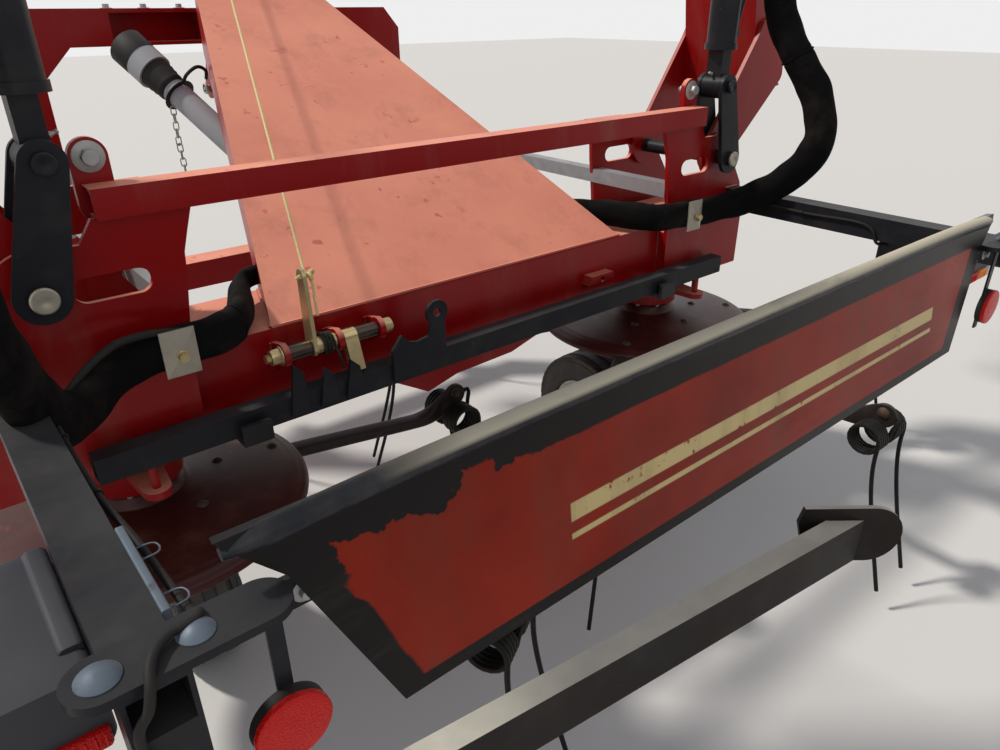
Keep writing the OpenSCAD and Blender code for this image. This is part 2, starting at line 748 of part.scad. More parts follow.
module barrel(side) color(satin_black) placed() on_side(side) translate([cyl_x, 0, cyl_z]) {
    difference() {
        union() {
            rod_along_y(0, [cyl_y - eye_half, cyl_y + eye_half], 0, 32);
            translate([-20, cyl_y - 24, 0]) cube([40, 48, barrel_from + 5]);
            translate([0, cyl_y, barrel_from]) cylinder(h = barrel_to - barrel_from, r = barrel_r);
            translate([0, cyl_y, barrel_to - 35]) cylinder(h = 35, r = barrel_r + 4);
            translate([0, cyl_y, barrel_from]) cylinder(h = 16, r = barrel_r + 4);
            // Oil ports
            for (z = [barrel_from + 30, barrel_to - 60])
                translate([barrel_r - 5, cyl_y - 10, z]) cube([24, 20, 24]);
        }
        rod_along_y(0, [cyl_y - eye_half - 1, cyl_y + eye_half + 1], 0, 15 + run_c);
        translate([0, cyl_y, barrel_from + 16]) cylinder(h = barrel_to - barrel_from - 40, r = barrel_r - 8);
        translate([0, cyl_y, barrel_to - 30]) cylinder(h = 31, r = rod_r + run_c);
    }
}

module cyl_rod(side) color(steel) placed() translate([side * cyl_x, cyl_y, cyl_z]) {
    translate([0, 0, barrel_from + 20]) cylinder(h = cyl_closed - barrel_from - 30, r = rod_r);
    translate([0, 0, barrel_from + 20]) cylinder(h = 30, r = barrel_r - 8 - run_c);
    rod_along_y(0, [-rod_eye_half, rod_eye_half], cyl_closed, 30);
}

// Rotor about its own axis, with its first arm at the angle phase

module rotor_disc() {
    rotate_extrude($fn = 96) polygon([[neck_r + run_c, disc_z - 15], [neck_r + run_c, disc_z + 59],
        [88, disc_z + 59], [92, disc_z + 29], [300, disc_z + 15], [disc_r, disc_z], [disc_r, disc_z - 27],
        [disc_r - 10, disc_z - 27], [disc_r - 10, disc_z - 10], [296, disc_z + 3], [92, disc_z + 15],
        [88, disc_z - 15]]);
}

coil_z = 495;
coil_half_gap = 16;
coil_l = 44;

module tine(t) {
    p0 = [coil_at + 26, t, coil_z];
    p1 = [coil_at + 24, t, coil_z - 80];
    p2 = [coil_at + 70, t, coil_z - 260];
    p3 = [tip_at - wire_r, t, tip_z];
    bar3(p0, p1, wire_r);
    bar3(p1 + 0.02 * (p0 - p1), p2, wire_r);
    bar3(p2 + 0.02 * (p1 - p2), p3, wire_r);
}

module rotor_arm() {
    // Bar sloping down from under the disc
    rotate([90, 0, 0]) linear_extrude(44, center = true)
        polygon([[250, disc_z + 3], [320, disc_z - 2], [coil_at, coil_z + 12], [coil_at + 8, coil_z - 6],
            [coil_at - 20, coil_z - 4], [320, disc_z - 18], [250, disc_z - 14]]);
    for (s = [-1, 1]) {
        translate([coil_at, s * (coil_half_gap + coil_l / 2), coil_z]) rotate([90, 0, 0])
            cylinder(h = coil_l, r = 30, center = true, $fn = 32);
        tine(s * (coil_half_gap + coil_l - 6));
    }
    translate([coil_at, 0, coil_z]) rotate([90, 0, 0])
        cylinder(h = 2 * coil_half_gap + 4, r = 12, center = true, $fn = 24);
}

module rotor(phase) {
    rotor_disc();
    for (k = [0:arm_count - 1]) rotate([0, 0, phase + k * 360 / arm_count]) rotor_arm();
}

half_step = 180 / arm_count;

module rotor_inner(side) color(dark_red) placed() on_side(side) translate([rotor_x, 0, 0])
    rotor(side < 0 ? 0 : half_step);

module rotor_outer(side) color(dark_red) placed() folded(side) translate([outer_x, 0, 0])
    rotor(side < 0 ? half_step : 0);

// Wheel leg, tyre and rim about the rotor's axis

leg_in = tyre_w / 2 - wheel_in + 6;

module wheel_leg() {
    crank_z = 2 * tyre_r + 18;
    translate([0, 0, crank_z + 20]) cylinder(h = 686 - crank_z, r = column_r);
    translate([0, 0, disc_z - 40]) cylinder(h = 20, r = neck_r + 12);
    // Steering arm and pin
    translate([0, 0, 690]) linear_extrude(15) strap([0, 0], 44, [0, -steer_r], 26);
    translate([0, -steer_r, 700]) cylinder(h = 76, r = 8);
    // Flange, and the plate down to the axle beside the wheel
    translate([0, 0, crank_z]) cylinder(h = 40, r = 58);
    plate_yz([leg_in, leg_in + 22]) strap([8, crank_z + 2], 36, [wheel_ahead, tyre_r], 30);
    rod_along_x([-wheel_in - tyre_w / 2 + 30, leg_in + 4], wheel_ahead, tyre_r, axle_r);
}

module tyre() {
    w = tyre_w / 2;
    translate([-wheel_in, wheel_ahead, tyre_r]) rotate([0, 90, 0]) rotate_extrude($fn = 72)
        polygon([[108, -w + 12], [118, -w + 2], [150, -w], [tyre_r - 22, -w + 4], [tyre_r - 6, -w + 16],
            [tyre_r - 2, -w + 30], [tyre_r - 10, -w + 33], [tyre_r - 10, -w + 38], [tyre_r, -w + 41],
            [tyre_r, -w + 66], [tyre_r - 9, -w + 69], [tyre_r - 9, w - 69], [tyre_r, w - 66],
            [tyre_r, w - 41], [tyre_r - 10, w - 38], [tyre_r - 10, w - 33], [tyre_r - 2, w - 30],
            [tyre_r - 6, w - 16], [tyre_r - 22, w - 4], [150, w], [118, w - 2], [108, w - 12]]);
}

module rim() {
    w = tyre_w / 2;
    translate([-wheel_in, wheel_ahead, tyre_r]) rotate([0, 90, 0]) rotate_extrude($fn = 72)
        polygon([[axle_r + run_c, -w + 22], [26, -w + 22], [28, -6], [70, -10], [84, -w + 20], [98, -w + 14],
            [102, -w + 8], [108, -w + 8], [108, w - 8], [102, w - 8], [98, w - 14], [84, w - 20],
            [74, 4], [28, 6], [26, w - 10], [axle_r + run_c, w - 10]]);
}

module inner_at(side) placed() on_side(side) translate([rotor_x, 0, 0]) children();
module outer_at(side) placed() folded(side) translate([outer_x, 0, 0]) children();

beam();
tower();
cross_tube();
hinge_brackets();
side_stops();
hinge_links();
gear_housings();
centre_gearbox();
drive_shaft();
guard_arms();
guard_panel();
guard_straps();
lamp_boxes();
reflectors();
rear_bar();
latch_bracket();
latch_lever();
pull_rope();
hoses();
headstock();
stand(-1);  // stand_left
stand(1);  // stand_right
steering_rail();
wing(-1);  // wing_left
wing(1);  // wing_right
wing_rail(-1);  // wing_rail_left
wing_rail(1);  // wing_rail_right
barrel(-1);  // barrel_left
barrel(1);  // barrel_right
cyl_rod(-1);  // rod_left
cyl_rod(1);  // rod_right
rotor_inner(-1);  // rotor_inner_left
rotor_inner(1);  // rotor_inner_right
rotor_outer(-1);  // rotor_outer_left
rotor_outer(1);  // rotor_outer_right
color(paint) inner_at(-1) wheel_leg();  // leg_inner_left
color(paint) inner_at(1) wheel_leg();  // leg_inner_right
color(paint) outer_at(-1) wheel_leg();  // leg_outer_left
color(paint) outer_at(1) wheel_leg();  // leg_outer_right
color(rubber) inner_at(-1) tyre();  // tyre_inner_left
color(rubber) inner_at(1) tyre();  // tyre_inner_right
color(rubber) outer_at(-1) tyre();  // tyre_outer_left
color(rubber) outer_at(1) tyre();  // tyre_outer_right
color(pale_rim) inner_at(-1) rim();  // rim_inner_left
color(pale_rim) inner_at(1) rim();  // rim_inner_right
color(pale_rim) outer_at(-1) rim();  // rim_outer_left
color(pale_rim) outer_at(1) rim();  // rim_outer_right
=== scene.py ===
"""Hay tedder with folded wings: looks, small fittings and soft lines around the CAD frame."""

import math

import bpy
import numpy as np
from mathutils import Matrix, Vector


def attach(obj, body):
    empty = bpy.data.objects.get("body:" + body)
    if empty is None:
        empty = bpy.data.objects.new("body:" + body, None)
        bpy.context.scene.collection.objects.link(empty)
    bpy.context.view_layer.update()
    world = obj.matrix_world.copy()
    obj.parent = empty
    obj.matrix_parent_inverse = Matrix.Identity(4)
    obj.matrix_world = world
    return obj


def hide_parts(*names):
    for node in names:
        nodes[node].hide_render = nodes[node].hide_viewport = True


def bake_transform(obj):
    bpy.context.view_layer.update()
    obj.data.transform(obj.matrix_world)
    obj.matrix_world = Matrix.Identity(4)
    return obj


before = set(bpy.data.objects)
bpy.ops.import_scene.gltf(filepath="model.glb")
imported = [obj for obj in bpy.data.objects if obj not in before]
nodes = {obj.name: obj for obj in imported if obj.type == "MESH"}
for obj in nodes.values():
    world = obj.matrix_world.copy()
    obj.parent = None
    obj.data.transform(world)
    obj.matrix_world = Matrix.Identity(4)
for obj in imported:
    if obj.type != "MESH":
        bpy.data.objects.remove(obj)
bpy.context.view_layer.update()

# The beam's centre lies this far behind the frame's origin, in metres
BEAM_BEHIND = 0.138
SIDES = (-1, 1)
SIDE_NAME = {-1: "left", 1: "right"}
# How far a wing is folded up, and its hinge pin on the right
FOLD = math.radians(99)
PIN = np.array([0.900, 0.0, 1.100])
UP, DOWN = (0, 0, 1), (0, 0, -1)
REAR, AHEAD = (0, -1, 0), (0, 1, 0)
RIGHT, LEFT = (1, 0, 0), (-1, 0, 0)
# The viewpoint: degrees turned right, tipped down and rolled; millimetres of film and lens; place from the beam
YAW, PITCH, ROLL = 39.501, 26.584, 0.311
FILM, FOCAL = 36.0, 26.455
EYE = (-1.037, -1.474, 1.502)
# Edges that turn further than this are left sharp
SHARP = math.radians(38)


# Camera

def add_camera():
    """The photograph's viewpoint: turned right by yaw, tipped down by pitch, then rolled."""
    yaw, pitch, roll = (math.radians(angle) for angle in (YAW, PITCH, ROLL))
    ahead = np.array([math.sin(yaw) * math.cos(pitch), math.cos(yaw) * math.cos(pitch), -math.sin(pitch)])
    level = np.array([math.cos(yaw), -math.sin(yaw), 0.0])
    down = np.cross(ahead, level)
    right = level * math.cos(roll) + down * math.sin(roll)
    below = down * math.cos(roll) - level * math.sin(roll)
    turn = Matrix(np.array([right, -below, -ahead]).T.tolist()).to_4x4()
    lens = bpy.data.cameras.new("viewpoint")
    lens.sensor_width = FILM
    lens.lens = FOCAL
    lens.clip_start = 0.02
    camera = bpy.data.objects.new("viewpoint", lens)
    camera.matrix_world = Matrix.Translation((EYE[0], EYE[1] - BEAM_BEHIND, EYE[2])) @ turn
    bpy.context.scene.collection.objects.link(camera)
    bpy.context.scene.camera = camera


add_camera()


# Shapes as arrays: a shell is (points, faces)

def round_angles(count):
    """Angles spaced evenly round a circle."""
    return np.linspace(0, 2 * np.pi, count, endpoint=False)


def unit(rows):
    """Each row as a unit vector."""
    return rows / np.linalg.norm(rows, axis=1)[:, None]


def skin(grid, ends="cap"):
    """Quads over a grid of rings, each ring closed on itself; both ends are fanned shut, left open or joined."""
    rings, sides = grid.shape[:2]
    points = grid.reshape(-1, 3)
    turn = np.arange(sides)
    after = (turn + 1) % sides
    last = rings if ends == "loop" else rings - 1
    row = (np.arange(last) * sides)[:, None]
    ahead = (((np.arange(last) + 1) % rings) * sides)[:, None]
    quads = np.stack([row + turn, row + after, ahead + after, ahead + turn], -1).reshape(-1, 4)
    faces = quads.tolist()
    if ends == "cap":
        points = np.vstack([points, grid[0].mean(0), grid[-1].mean(0)])
        low, high = rings * sides, rings * sides + 1
        base = (rings - 1) * sides
        faces += np.stack([after, turn, np.full(sides, low)], -1).tolist()
        faces += np.stack([base + turn, base + after, np.full(sides, high)], -1).tolist()
    return points, faces


def outward(shell):
    """Turns every face round if the signed volume of the shell is negative."""
    points, faces = shell
    fans = np.array([[f[0], f[k], f[k + 1]] for f in faces for k in range(1, len(f) - 1)])
    a, b, c = points[fans[:, 0]], points[fans[:, 1]], points[fans[:, 2]]
    if np.einsum("ij,ij->i", a, np.cross(b, c)).sum() < 0:
        faces = [f[::-1] for f in faces]
    return points, faces


def spun(profile, sides=24, ends="cap"):
    """A lathe shape about Z: ring k has the profile's radius r and height z, x = r cos t, y = r sin t."""
    radius, height = np.array(profile, float).T
    t = round_angles(sides)
    x = radius[:, None] * np.cos(t)
    y = radius[:, None] * np.sin(t)
    z = np.repeat(height[:, None], sides, 1)
    return outward(skin(np.stack([x, y, z], -1), ends))


def eased(points, per_span=8):
    """A smooth line through the points: Catmull-Rom cubics, all spans worked out together."""
    p = np.array(points, float)
    p = np.vstack([2 * p[0] - p[1], p, 2 * p[-1] - p[-2]])
    t = np.linspace(0, 1, per_span, endpoint=False)[None, :, None]
    a, b, c, d = (p[k:len(p) - 3 + k, None, :] for k in range(4))
    line = 0.5 * (2 * b + (c - a) * t + (2 * a - 5 * b + 4 * c - d) * t ** 2 + (3 * b - a - 3 * c + d) * t ** 3)
    return np.vstack([line.reshape(-1, 3), p[-2]])


def run(line):
    """How far along the line each of its points lies."""
    return np.concatenate([[0], np.cumsum(np.linalg.norm(np.diff(line, axis=0), axis=1))])


def part_way(line, s, at):
    """The line's point or points at the lengths given, where s is the line's own run."""
    return np.stack([np.interp(at, s, line[:, k]) for k in range(3)], -1)


def across(line, steady=UP):
    """Two unit vectors square to the line at each of its points, kept level with the vector steady."""
    along = unit(np.gradient(line, axis=0))
    side = np.cross(along, np.array(steady, float))
    side /= np.maximum(np.linalg.norm(side, axis=1), 1e-9)[:, None]
    return side, np.cross(side, along)


def drawn(line, outline, steady=UP, ends="cap", swell=None):
    """The outline's points (a, b) carried along the line: point = line + swell * (a * side + b * up)."""
    line = np.array(line, float)
    side, up = across(line, steady)
    shape = np.array(outline, float)
    scale = np.ones(len(line)) if swell is None else np.array(swell, float)
    grid = line[:, None, :] + scale[:, None, None] * (
        shape[None, :, 0, None] * side[:, None, :] + shape[None, :, 1, None] * up[:, None, :])
    return outward(skin(grid, ends))


def round_outline(radius, sides=12):
    """Points of a circle about zero."""
    t = round_angles(sides)
    return np.stack([radius * np.cos(t), radius * np.sin(t)], -1)


def box_outline(width, height, corner, steps=3):
    """A rectangle with rounded corners: four quarter circles, one after the other."""
    t = np.linspace(0, np.pi / 2, steps + 1)
    parts = [np.stack([sx * (width / 2 - corner) + corner * np.cos(t + k * np.pi / 2),
                       sy * (height / 2 - corner) + corner * np.sin(t + k * np.pi / 2)], -1)
             for k, (sx, sy) in enumerate([(1, 1), (-1, 1), (-1, -1), (1, -1)])]
    return np.vstack(parts)


def wire(points, radius, sides=10, per_span=8, steady=UP):
    """A round tube along the eased line through the points."""
    return drawn(eased(points, per_span), round_outline(radius, sides), steady)


def turned(shell, angle, axis, about=(0, 0, 0)):
    """The shell turned about an axis through a point."""
    points, faces = shell
    m = np.array(Matrix.Rotation(angle, 3, Vector(axis)))
    about = np.array(about, float)
    return (points - about) @ m.T + about, faces


def shifted(shell, offset):
    """The shell moved by the offset."""
    return shell[0] + np.array(offset, float), shell[1]


def pointed(shell, direction, to=(0, 0, 0)):
    """The shell, drawn along Z, laid along the direction and moved to a place."""
    m = np.array(Vector((0, 0, 1)).rotation_difference(Vector(direction)).to_matrix())
    return shell[0] @ m.T + np.array(to, float), shell[1]


def mirrored(shell):
    """The shell on the other side of the machine: x changes sign and every face turns round."""
    return shell[0] * np.array([-1.0, 1.0, 1.0]), [f[::-1] for f in shell[1]]


def on_side(shell, side):
    """The shell as drawn, which is on the right, or its mirror image on the left."""
    return mirrored(shell) if side < 0 else shell


def joined(shells):
    """Several shells as one."""
    points, faces, count = [], [], 0
    for p, f in shells:
        points.append(p)
        faces += [[i + count for i in face] for face in f]
        count += len(p)
    return np.vstack(points), faces


def on_beam(shell):
    """From the beam's centre to the frame's origin."""
    return shifted(shell, (0, -BEAM_BEHIND, 0))


def folded(shell, side):
    """A shell drawn on the right wing in its working place, turned up about the hinge pin."""
    return on_side(turned(shell, -FOLD, AHEAD, PIN), side)


def standing(shell, side, where):
    """A shell drawn on the right in its working place; an outer one is folded up with its wing."""
    return on_beam(folded(shell, side) if where == "outer" else on_side(shell, side))


def make(name, shells, material, body, smooth=True, stands_for=None):
    """A piece that rides on a body, shaded smooth up to an angle; it may stand for a plain node."""
    points, faces = joined(shells) if isinstance(shells, list) else shells
    mesh = bpy.data.meshes.new(name)
    mesh.from_pydata(points.tolist(), [], faces)
    mesh.materials.append(material)
    mesh.update()
    if smooth:
        mesh.shade_smooth()
        mesh.set_sharp_from_angle(angle=SHARP)
    piece = bpy.data.objects.new(name, mesh)
    bpy.context.scene.collection.objects.link(piece)
    if body:
        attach(piece, body)
    if stands_for:
        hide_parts(stands_for)
    return piece


# Finishes

class Finish:
    """A node material built step by step; each step returns a socket."""

    def __init__(self, name):
        self.material = bpy.data.materials.new(name)
        self.material.use_nodes = True
        self.tree = self.material.node_tree
        self.shader = self.tree.nodes["Principled BSDF"]
        self.where = self.tree.nodes.new("ShaderNodeTexCoord")

    def put(self, node, socket, value):
        if isinstance(value, bpy.types.NodeSocket):
            self.tree.links.new(value, node.inputs[socket])
        elif isinstance(value, (tuple, list)) and len(value) == 3 and node.inputs[socket].type == "RGBA":
            node.inputs[socket].default_value = (*value, 1.0)
        else:
            node.inputs[socket].default_value = value

    def node(self, kind, **inputs):
        """A new node whose inputs are set or linked; an underline stands for a space in an input's name."""
        n = self.tree.nodes.new("ShaderNode" + kind)
        for socket, value in inputs.items():
            self.put(n, socket.replace("_", " "), value)
        return n

    def noise(self, scale, detail=4.0, rough=0.55, stretch=None):
        at = self.where.outputs["Object"]
        if stretch:
            at = self.node("Mapping", Vector=at, Scale=stretch).outputs["Vector"]
        return self.node("TexNoise", Vector=at, Scale=scale, Detail=detail, Roughness=rough).outputs["Fac"]

    def spread(self, value, low, high, to_low=0.0, to_high=1.0):
        n = self.node("MapRange", Value=value, From_Min=low, From_Max=high, To_Min=to_low, To_Max=to_high)
        return n.outputs["Result"]

    def maths(self, how, a, b=0.0, clamp=True):
        n = self.node("Math")
        n.operation = how
        n.use_clamp = clamp
        for k, v in enumerate((a, b)):
            self.put(n, k, v)
        return n.outputs[0]

    def times(self, a, b, clamp=True):
        return self.maths("MULTIPLY", a, b, clamp)

    def plus(self, a, b, clamp=True):
        return self.maths("ADD", a, b, clamp)

    def mix(self, share, a, b):
        n = self.node("Mix")
        n.data_type = "RGBA"
        self.put(n, 0, share)
        for k, v in ((6, a), (7, b)):
            if isinstance(v, (tuple, list)):
                n.inputs[k].default_value = (*v, 1.0)
            else:
                self.tree.links.new(v, n.inputs[k])
        return n.outputs[2]

    def along(self, output, axis):
        return self.node("SeparateXYZ", Vector=self.where.outputs[output]).outputs["XYZ".index(axis)]

    def facing(self, axis):
        """How far the surface faces along an axis of the piece, from -1 to 1."""
        return self.along("Normal", axis)

    def place(self, axis):
        """The surface's place along an axis, in metres."""
        return self.along("Object", axis)

    def cells(self, scale):
        """Distance to the nearest of many scattered points, for a prismatic or pebbled surface."""
        return self.node("TexVoronoi", Scale=scale, Vector=self.where.outputs["Object"]).outputs["Distance"]

    def bump(self, height, strength, distance=0.001):
        n = self.node("Bump", Strength=strength, Distance=distance, Height=height)
        self.put(self.shader, "Normal", n.outputs["Normal"])

    def done(self, colour, rough, metal=0.0, **fixed):
        self.put(self.shader, "Base Color", colour)
        self.put(self.shader, "Roughness", rough)
        self.put(self.shader, "Metallic", metal)
        for socket, value in fixed.items():
            self.shader.inputs[socket.replace("_", " ")].default_value = value
        return self.material


DUST = (0.42, 0.33, 0.24)
RUST = (0.20, 0.075, 0.03)


def red_enamel(name, fade_and_sunlight=0.92, deep=(0.28, 0.002, 0.003), pale=(0.90, 0.36, 0.24), black_from=None):
    """Old red enamel: pale where it faces the sky, partly chalky sun-faded paint and partly painted sunlight,
    glossy and deep on the sides, with dust streaks, chips and a little rust. Beyond black_from on either side of the
    middle it is black."""
    f = Finish(name)
    cloud = f.noise(3.0, 5.0, 0.6)
    fine = f.noise(60.0, 3.0)
    # Upward faces turn pale: chalky sun-faded paint and painted sunlight together
    sky = f.spread(f.facing("Z"), 0.35, 0.80)
    chalk_and_sunlight = f.times(sky, f.spread(cloud, 0.30, 0.70, fade_and_sunlight * 0.75, fade_and_sunlight))
    body = f.mix(f.spread(cloud, 0.35, 0.65, 0.0, 0.35), deep, tuple(0.8 * c for c in deep))
    paint = f.mix(chalk_and_sunlight, body, pale)
    streak = f.spread(f.noise(9.0, 6.0, 0.65, stretch=(1.0, 1.0, 0.25)), 0.52, 0.78, 0.0, 0.35)
    dirty = f.mix(streak, paint, (0.26, 0.10, 0.07))
    chips = f.spread(f.noise(38.0, 5.0, 0.7), 0.70, 0.73)
    blotch = f.times(f.spread(f.noise(24.0, 3.0, 0.6), 0.63, 0.68, 0.0, 0.65),
                     f.times(chalk_and_sunlight, f.spread(f.noise(3.2, 2.0), 0.50, 0.58)))
    dirty = f.mix(blotch, dirty, (0.42, 0.045, 0.045))
    worn = f.mix(f.times(chips, f.spread(cloud, 0.5, 0.7)), dirty, RUST)
    rough = f.spread(f.plus(chalk_and_sunlight, f.times(fine, 0.25)), 0.0, 1.0, 0.30, 0.62)
    f.bump(f.plus(f.times(fine, 0.5), f.times(cloud, 0.5)), 0.12, 0.0006)
    if black_from:
        outside = f.spread(f.maths("ABSOLUTE", f.place("X"), clamp=False), black_from, black_from + 0.002)
        worn = f.mix(outside, worn, (0.014, 0.014, 0.016))
    return f.done(worn, rough, Coat_Weight=0.05, Coat_Roughness=0.2, Specular_IOR_Level=0.22)


def black_enamel(name, dust=0.26, base=(0.010, 0.011, 0.015), lies=(0.11, 0.105, 0.10), least=0.25):
    """Satin black paint, brown and paler on top with dust and painted light from above, scuffed grey at its edges."""
    f = Finish(name)
    cloud = f.noise(5.0, 6.0, 0.62)
    fine = f.noise(90.0, 3.0)
    sky = f.spread(f.facing("Z"), 0.30, 0.85)
    grey = f.mix(f.spread(cloud, 0.35, 0.7, 0.0, 0.5), base, (0.026, 0.026, 0.028))
    # Upward faces turn paler: partly dust, partly painted light from above
    upward_share = f.times(sky, f.spread(cloud, 0.30, 0.62, dust * least, dust))
    dusty = f.mix(upward_share, grey, lies)
    film = f.mix(f.spread(f.noise(16.0, 5.0, 0.6), 0.48, 0.80, 0.0, 0.12), dusty, (0.13, 0.105, 0.085))
    scuff = f.spread(f.noise(45.0, 6.0, 0.75, stretch=(0.35, 1.0, 1.0)), 0.68, 0.72, 0.0, 0.6)
    worn = f.mix(scuff, film, (0.11, 0.105, 0.10))
    rough = f.spread(f.plus(upward_share, f.times(fine, 0.3)), 0.0, 1.0, 0.32, 0.75)
    f.bump(fine, 0.10, 0.0005)
    return f.done(worn, rough, Specular_IOR_Level=0.13)


def worn_panel(name):
    """Glossy black sheet with a torn red film on its rear face and two plain cream stripes on the film.
    The film lies right of x + 0.41 z = -0.386 and left of x - 0.41 z = 0.37, between two heights."""
    f = Finish(name)
    x, z = f.place("X"), f.place("Z")
    cloud = f.noise(4.0, 5.0, 0.6)
    tear = f.maths("SUBTRACT", f.noise(13.0, 4.0, 0.6), 0.5, clamp=False)
    slant = f.times(z, 0.41, clamp=False)
    ragged = f.times(tear, f.spread(x, -0.70, -0.42, 0.16, 0.004), clamp=False)
    rag_left = f.times(ragged, f.spread(z, 0.93, 0.99, 0.10, 0.9), clamp=False)
    leant = f.plus(f.plus(x, slant, clamp=False), rag_left, clamp=False)
    left = f.spread(leant, -0.388, -0.384)
    right = f.spread(f.maths("SUBTRACT", x, slant, clamp=False), 0.372, 0.368)
    top = f.spread(f.plus(z, ragged, clamp=False), 1.0185, 1.0155)
    low = f.spread(z, 0.803, 0.805)
    rear = f.spread(f.facing("Y"), -0.25, -0.45)
    film = f.times(f.times(left, right), f.times(f.times(top, low), rear))
    inside = f.times(f.spread(x, -0.47, -0.468), f.spread(x, 0.62, 0.618))
    bands = f.plus(f.times(f.spread(z, 0.893, 0.895), f.spread(z, 0.923, 0.921)),
                    f.times(f.spread(z, 0.866, 0.868), f.spread(z, 0.877, 0.875)))
    worn = f.spread(f.noise(30.0, 5.0, 0.7), 0.66, 0.60)
    stripe = f.times(f.times(inside, bands), worn)
    red = f.mix(f.spread(cloud, 0.3, 0.7), (0.30, 0.016, 0.002), (0.17, 0.008, 0.001))
    # Brownish streaks on the film: dust streaks that also stand in for painted streaky reflections
    streak = f.spread(f.noise(11.0, 6.0, 0.65, stretch=(1.0, 1.0, 0.12)), 0.50, 0.75, 0.0, 0.45)
    printed = f.mix(streak, f.mix(stripe, red, (0.56, 0.44, 0.20)), (0.13, 0.045, 0.025))
    smear = f.spread(f.noise(7.0, 6.0, 0.7, stretch=(0.35, 1.0, 2.0)), 0.52, 0.76, 0.0, 0.35)
    black = f.mix(smear, (0.006, 0.005, 0.005), (0.070, 0.058, 0.045))
    sky = f.spread(f.facing("Z"), 0.30, 0.80, 0.0, 0.5)
    black = f.mix(f.times(sky, f.spread(cloud, 0.50, 0.66)), black, (0.36, 0.33, 0.28))
    f.bump(f.plus(f.times(film, 0.8), f.times(cloud, 0.2)), 0.25, 0.0006)
    rough = f.spread(f.plus(smear, f.times(cloud, 0.3)), 0.0, 0.8, 0.22, 0.60)
    return f.done(f.mix(film, black, printed), rough, Specular_IOR_Level=0.14)


def dust_and_sunlight_lip(name):
    """Black paint whose rounded top turns pale from x = -0.70 m to the right end: partly dust, partly painted sunlight.
    """
    f = Finish(name)
    patches = f.spread(f.noise(6.0, 6.0, 0.65, stretch=(0.5, 1.0, 1.0)), 0.34, 0.52, 0.35, 0.95)
    # The pale top right of x = -0.70 m: dust and painted sunlight; to the left the lip stays black
    upward_share = f.times(f.spread(f.facing("Z"), 0.10, 0.55), f.spread(f.place("X"), -0.74, -0.62))
    slate = f.mix(f.spread(f.noise(30.0, 4.0), 0.4, 0.7), (0.012, 0.013, 0.017), (0.034, 0.034, 0.038))
    tone = f.mix(f.times(upward_share, patches), slate, (0.56, 0.50, 0.38))
    f.bump(f.noise(160.0, 3.0), 0.12, 0.0004)
    return f.done(tone, f.spread(upward_share, 0.0, 1.0, 0.36, 0.85), Specular_IOR_Level=0.22)


def prism_lens(name, base):
    """Clear coloured plastic with small prisms behind it, seen as pebbled bump and fine bright points of painted glint.
    """
    f = Finish(name)
    cell = f.cells(520.0)
    f.bump(cell, 0.6, 0.0012)
    # Fine bright points: painted glints of the prisms
    painted_glint = f.spread(f.noise(300.0, 2.0), 0.70, 0.76, 0.0, 0.4)
    tone = f.mix(f.spread(cell, 0.3, 0.8), base, tuple(0.72 * c for c in base))
    return f.done(f.mix(painted_glint, tone, (0.95, 0.10, 0.06)), f.spread(f.noise(9.0), 0.3, 0.7, 0.15, 0.32),
                  Specular_IOR_Level=0.18)


def woven_sleeve(name):
    """Black woven hose sleeve: fine crossed threads, rubbed dusty grey along its ridges."""
    f = Finish(name)
    weft = f.noise(260.0, 2.0, 0.5, stretch=(0.25, 1.0, 1.0))
    warp = f.noise(260.0, 2.0, 0.5, stretch=(1.0, 1.0, 0.25))
    weave = f.plus(f.times(weft, 0.5), f.times(warp, 0.5))
    f.bump(weave, 0.45, 0.0010)
    dusty = f.spread(f.noise(6.0, 6.0, 0.65), 0.52, 0.76, 0.0, 0.30)
    upward_share = f.times(f.spread(f.facing("Z"), 0.45, 0.95, 0.0, 0.22), f.spread(f.noise(12.0), 0.4, 0.7))
    tone = f.mix(f.plus(dusty, upward_share), (0.0055, 0.005, 0.005), (0.070, 0.058, 0.048))
    return f.done(tone, f.spread(weave, 0.3, 0.7, 0.72, 0.92), Specular_IOR_Level=0.05)


def bare_metal(name, base, stain=RUST, much=0.3, rough=(0.28, 0.5), metal=0.9, shine=0.5):
    """Plated or bare steel, mottled, with stains in patches."""
    f = Finish(name)
    cloud = f.noise(14.0, 5.0, 0.65)
    fine = f.noise(120.0, 3.0)
    tone = f.mix(f.spread(cloud, 0.3, 0.7, 0.0, 0.5), base, tuple(0.55 * c for c in base))
    patch = f.spread(f.noise(28.0, 6.0, 0.7), 0.56, 0.72, 0.0, much)
    f.bump(fine, 0.15, 0.0004)
    return f.done(f.mix(patch, tone, stain), f.spread(cloud, 0.3, 0.7, *rough),
                  f.spread(patch, 0.0, 1.0, metal, min(metal, 0.1)), Specular_IOR_Level=shine)


def tyre_rubber(name):
    """Old black rubber, grey-brown with dried earth in patches."""
    f = Finish(name)
    cloud = f.noise(9.0, 6.0, 0.65)
    earth = f.spread(f.noise(22.0, 6.0, 0.7), 0.46, 0.70, 0.0, 0.55)
    base = f.mix(f.spread(cloud, 0.3, 0.7), (0.016, 0.016, 0.016), (0.035, 0.033, 0.030))
    f.bump(f.noise(150.0, 4.0), 0.25, 0.0008)
    return f.done(f.mix(earth, base, (0.15, 0.105, 0.07)), f.spread(earth, 0.0, 0.6, 0.62, 0.9))


